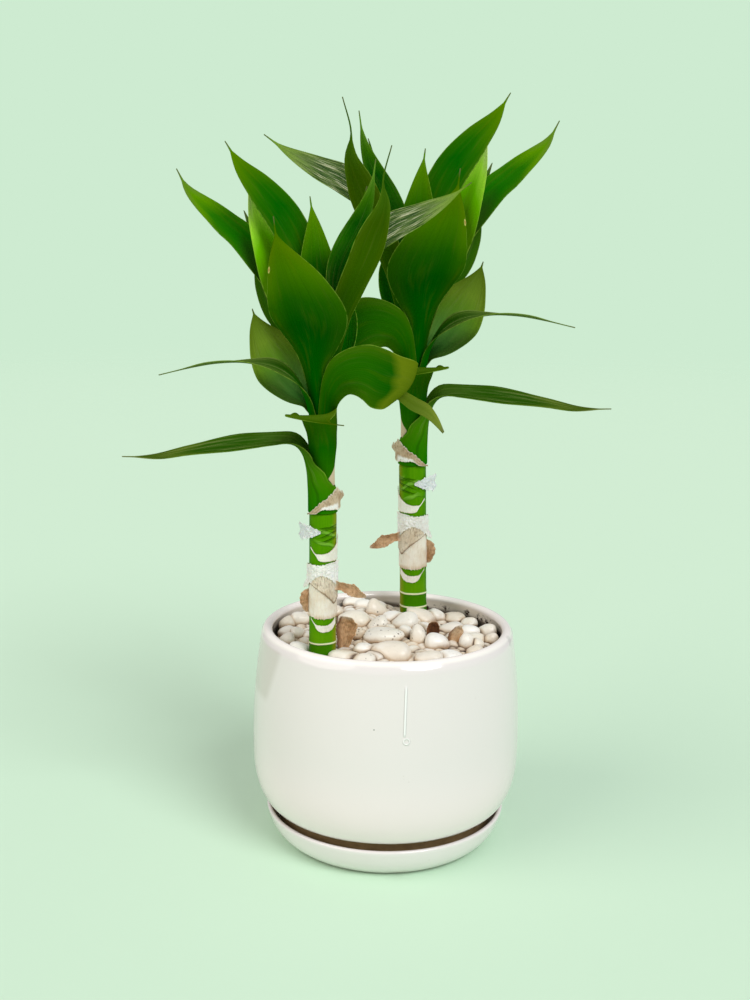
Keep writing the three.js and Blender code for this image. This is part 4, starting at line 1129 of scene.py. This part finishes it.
def makeHuskLook(name):
    main, second, fibre, rim, fibrous, creased = huskLooks[name]
    look = newLook("husk_" + name)
    place, sheet = look.place(), look.sheet()
    u, v, _ = look.split(sheet)
    fibres = look.grain(place, (900, 900, 60), 4, 0.65)
    lines = look.grain(sheet, (40, 5, 1), 4, 0.6, 0.4)
    patches = look.noise(place, 110, 4, 0.6)
    look.shade = look.blend(patches.between(0.4, 0.7), main, second)
    look.paint(fibres.between(0.48, 0.75) * fibrous, second)
    look.paint(lines.between(0.52, 0.66) * fibrous * 0.8, fibre)
    if name == "upper":
        # the fresh white base shows below the dry top
        fresh = v.between(0.36, 0.2) * u.between(0.28, 0.36) * u.between(0.72, 0.62)
        look.paint(fresh, (244, 241, 236))
    look.paint(abs(v * 2 - 1).between(0.78, 1.0) * patches.between(0.3, 0.5) * 0.9, rim)
    if name in ("curl scrap", "shred scrap"):
        # dark in the fold
        look.paint(u.between(0.4, 0.05) * 0.8, (104, 62, 34))
    spots = look.noise(place, 260, 3, 0.7).between(0.6, 0.68)
    look.paint(spots * 0.45 * fibrous, fibre)
    return look.finish(
        Roughness=fibres * 0.2 + 0.55,
        Specular_IOR_Level=0.25,
        Subsurface_Weight=0.1,
        Subsurface_Radius=(0.002, 0.0015, 0.001),
        Normal=look.bump(fibres * 0.8 + patches * creased + lines * creased, 0.0004),
    )


def makePlant(side, leafMaterials, huskMaterials):
    plant = plants[side]
    makeCane(side)
    for name, shape in leafShapes.items():
        grid = (edgedGrid if "edges" in shape else bladeGrid)(shape, *shape["fine"])
        thickness = blade["thickness"] * plant["size"]
        leaf = sheetPiece(side + "Leaf_" + name, planted(grid, plant), thickness, blade["thin"])
        handOver(leaf, leafMaterials[name], "leaf", side + "_leaf_" + name)
    for seed, (name, shape) in enumerate({**huskShapes, **wrapShapes}.items()):
        columns = int((shape["edges"][-1][0] - shape["edges"][0][0]) / husk["step"])
        grid = planted(huskGrid(shape, columns, husk["rows"], seed + 1), plant)
        nodes = [side + "_husk_" + name] if name in huskShapes else []
        made = sheetPiece(side + "Husk_" + name, grid, husk["thickness"])
        handOver(made, huskMaterials[name], "husk", *nodes)
    flaps = []
    for shape in flapShapes:
        grid = tattered(edgedGrid(shape, *flap["fine"]), flap["torn"], flap["seed"])
        flaps.append(sheetPiece("flap", planted(grid, plant), flap["thickness"]))
    handOver(joined(flaps, side + "HuskFlaps"), huskMaterials["flap"], "husk")
    print(side, "plant grown")


# dry scraps among the pebbles
scrapShapes = {
    "curl": {"bow": 0.34, "edges": [
        (-27, -27.5, 117, -23.4, -27, 117), (-28.6, -30, 124.2, -22, -28.5, 124.4),
        (-29, -31.2, 131, -19, -28.5, 130.4), (-28.8, -31.4, 137.6, -17.6, -27.6, 136.2),
        (-26.8, -30.6, 142.8, -20.4, -27.4, 141)]},
    "shred": {"bow": 0.24, "edges": [
        (37.6, -16, 117, 41.4, -15, 117), (36, -17.4, 123, 43, -15.6, 123),
        (35.4, -18, 128.4, 44.2, -16, 129), (39, -17.6, 132.6, 43.6, -16.4, 134)]},
    "chip": {"bow": 0.3, "edges": [
        (25, -7, 117, 29, -6.4, 117), (23.8, -8, 125, 30.4, -7, 125), (23.6, -8, 129.5, 30.8, -7, 130),
        (25, -7.6, 132.6, 29.4, -7, 132.8)]},
}

scrap = {"thickness": 0.4, "fine": (36, 18), "torn": 0.2}


def makeScraps():
    for name, shape in scrapShapes.items():
        grid = tattered(edgedGrid(shape, *scrap["fine"]), scrap["torn"], len(name))
        made = sheetPiece("dryScrap_" + name, grid * mm, scrap["thickness"])
        handOver(made, makeHuskLook(name + " scrap"), "dry_leaf", "scrap_" + name)
    print("scraps laid")


stage = {
    "backdrop": colour(206, 235, 209),
    "ambient": 0.48,
    # side round from the front in degrees, height, power, spread and tint
    "lights": {
        "keyRight": (36, 42, 1.75, 30, (0.98, 0.99, 1.0)),
        "fillLeft": (-62, 32, 1.1, 50, (1.0, 0.92, 0.86)),
    },
}


def makeStage():
    pick()
    bpy.ops.mesh.primitive_circle_add(vertices=96, radius=6, fill_type="NGON", location=origin)
    floor = bpy.context.object
    floor.name = "floor"
    look = newLook("paleFloor")
    x, y, _ = look.split(look.place())
    fade = ((x * x + y * y) ** 0.5).between(5.5, 1.6)
    look.shade = look.blend(look.noise(look.place(), 3, 2) * 0.3, (208, 236, 211), (205, 234, 208))
    floor.data.materials.append(look.finish(Roughness=0.9, Specular_IOR_Level=0.1, Alpha=fade))
    # the camera sees the plain backdrop, and the object is lit by white
    world = bpy.data.worlds.new("studio")
    sky = Look(world)
    around = sky.node("ShaderNodeBackground", None, {"Color": (1, 1, 1, 1), "Strength": stage["ambient"]})
    seen = sky.node("ShaderNodeBackground", None, {"Color": stage["backdrop"]})
    direct = sky.node("ShaderNodeLightPath")
    both = sky.node("ShaderNodeMixShader", None, {0: direct[0], 1: around[0], 2: seen[0]})
    sky.node("ShaderNodeOutputWorld", None, {"Surface": both[0]})
    bpy.context.scene.world = world
    for name, (side, height, power, spread, tint) in stage["lights"].items():
        bpy.ops.object.light_add(type="SUN", location=(0, 0, 2))
        light = bpy.context.object
        light.name = name
        light.data.energy = power
        light.data.angle = radians(spread)
        light.data.color = tint
        light.rotation_euler = (radians(90 - height), 0, radians(side))
    print("stage set")


bpy.context.scene.view_settings.view_transform = "Standard"
setCamera()
makeSaucer()
makePot()
makeSoil()
makeStones()
leafMaterials = {name: makeLeafLook(name) for name in leafShapes}
huskMaterials = {name: makeHuskLook(name) for name in (*huskShapes, *wrapShapes, "flap")}
for side in plants:
    makePlant(side, leafMaterials, huskMaterials)
makeScraps()
makeStage()
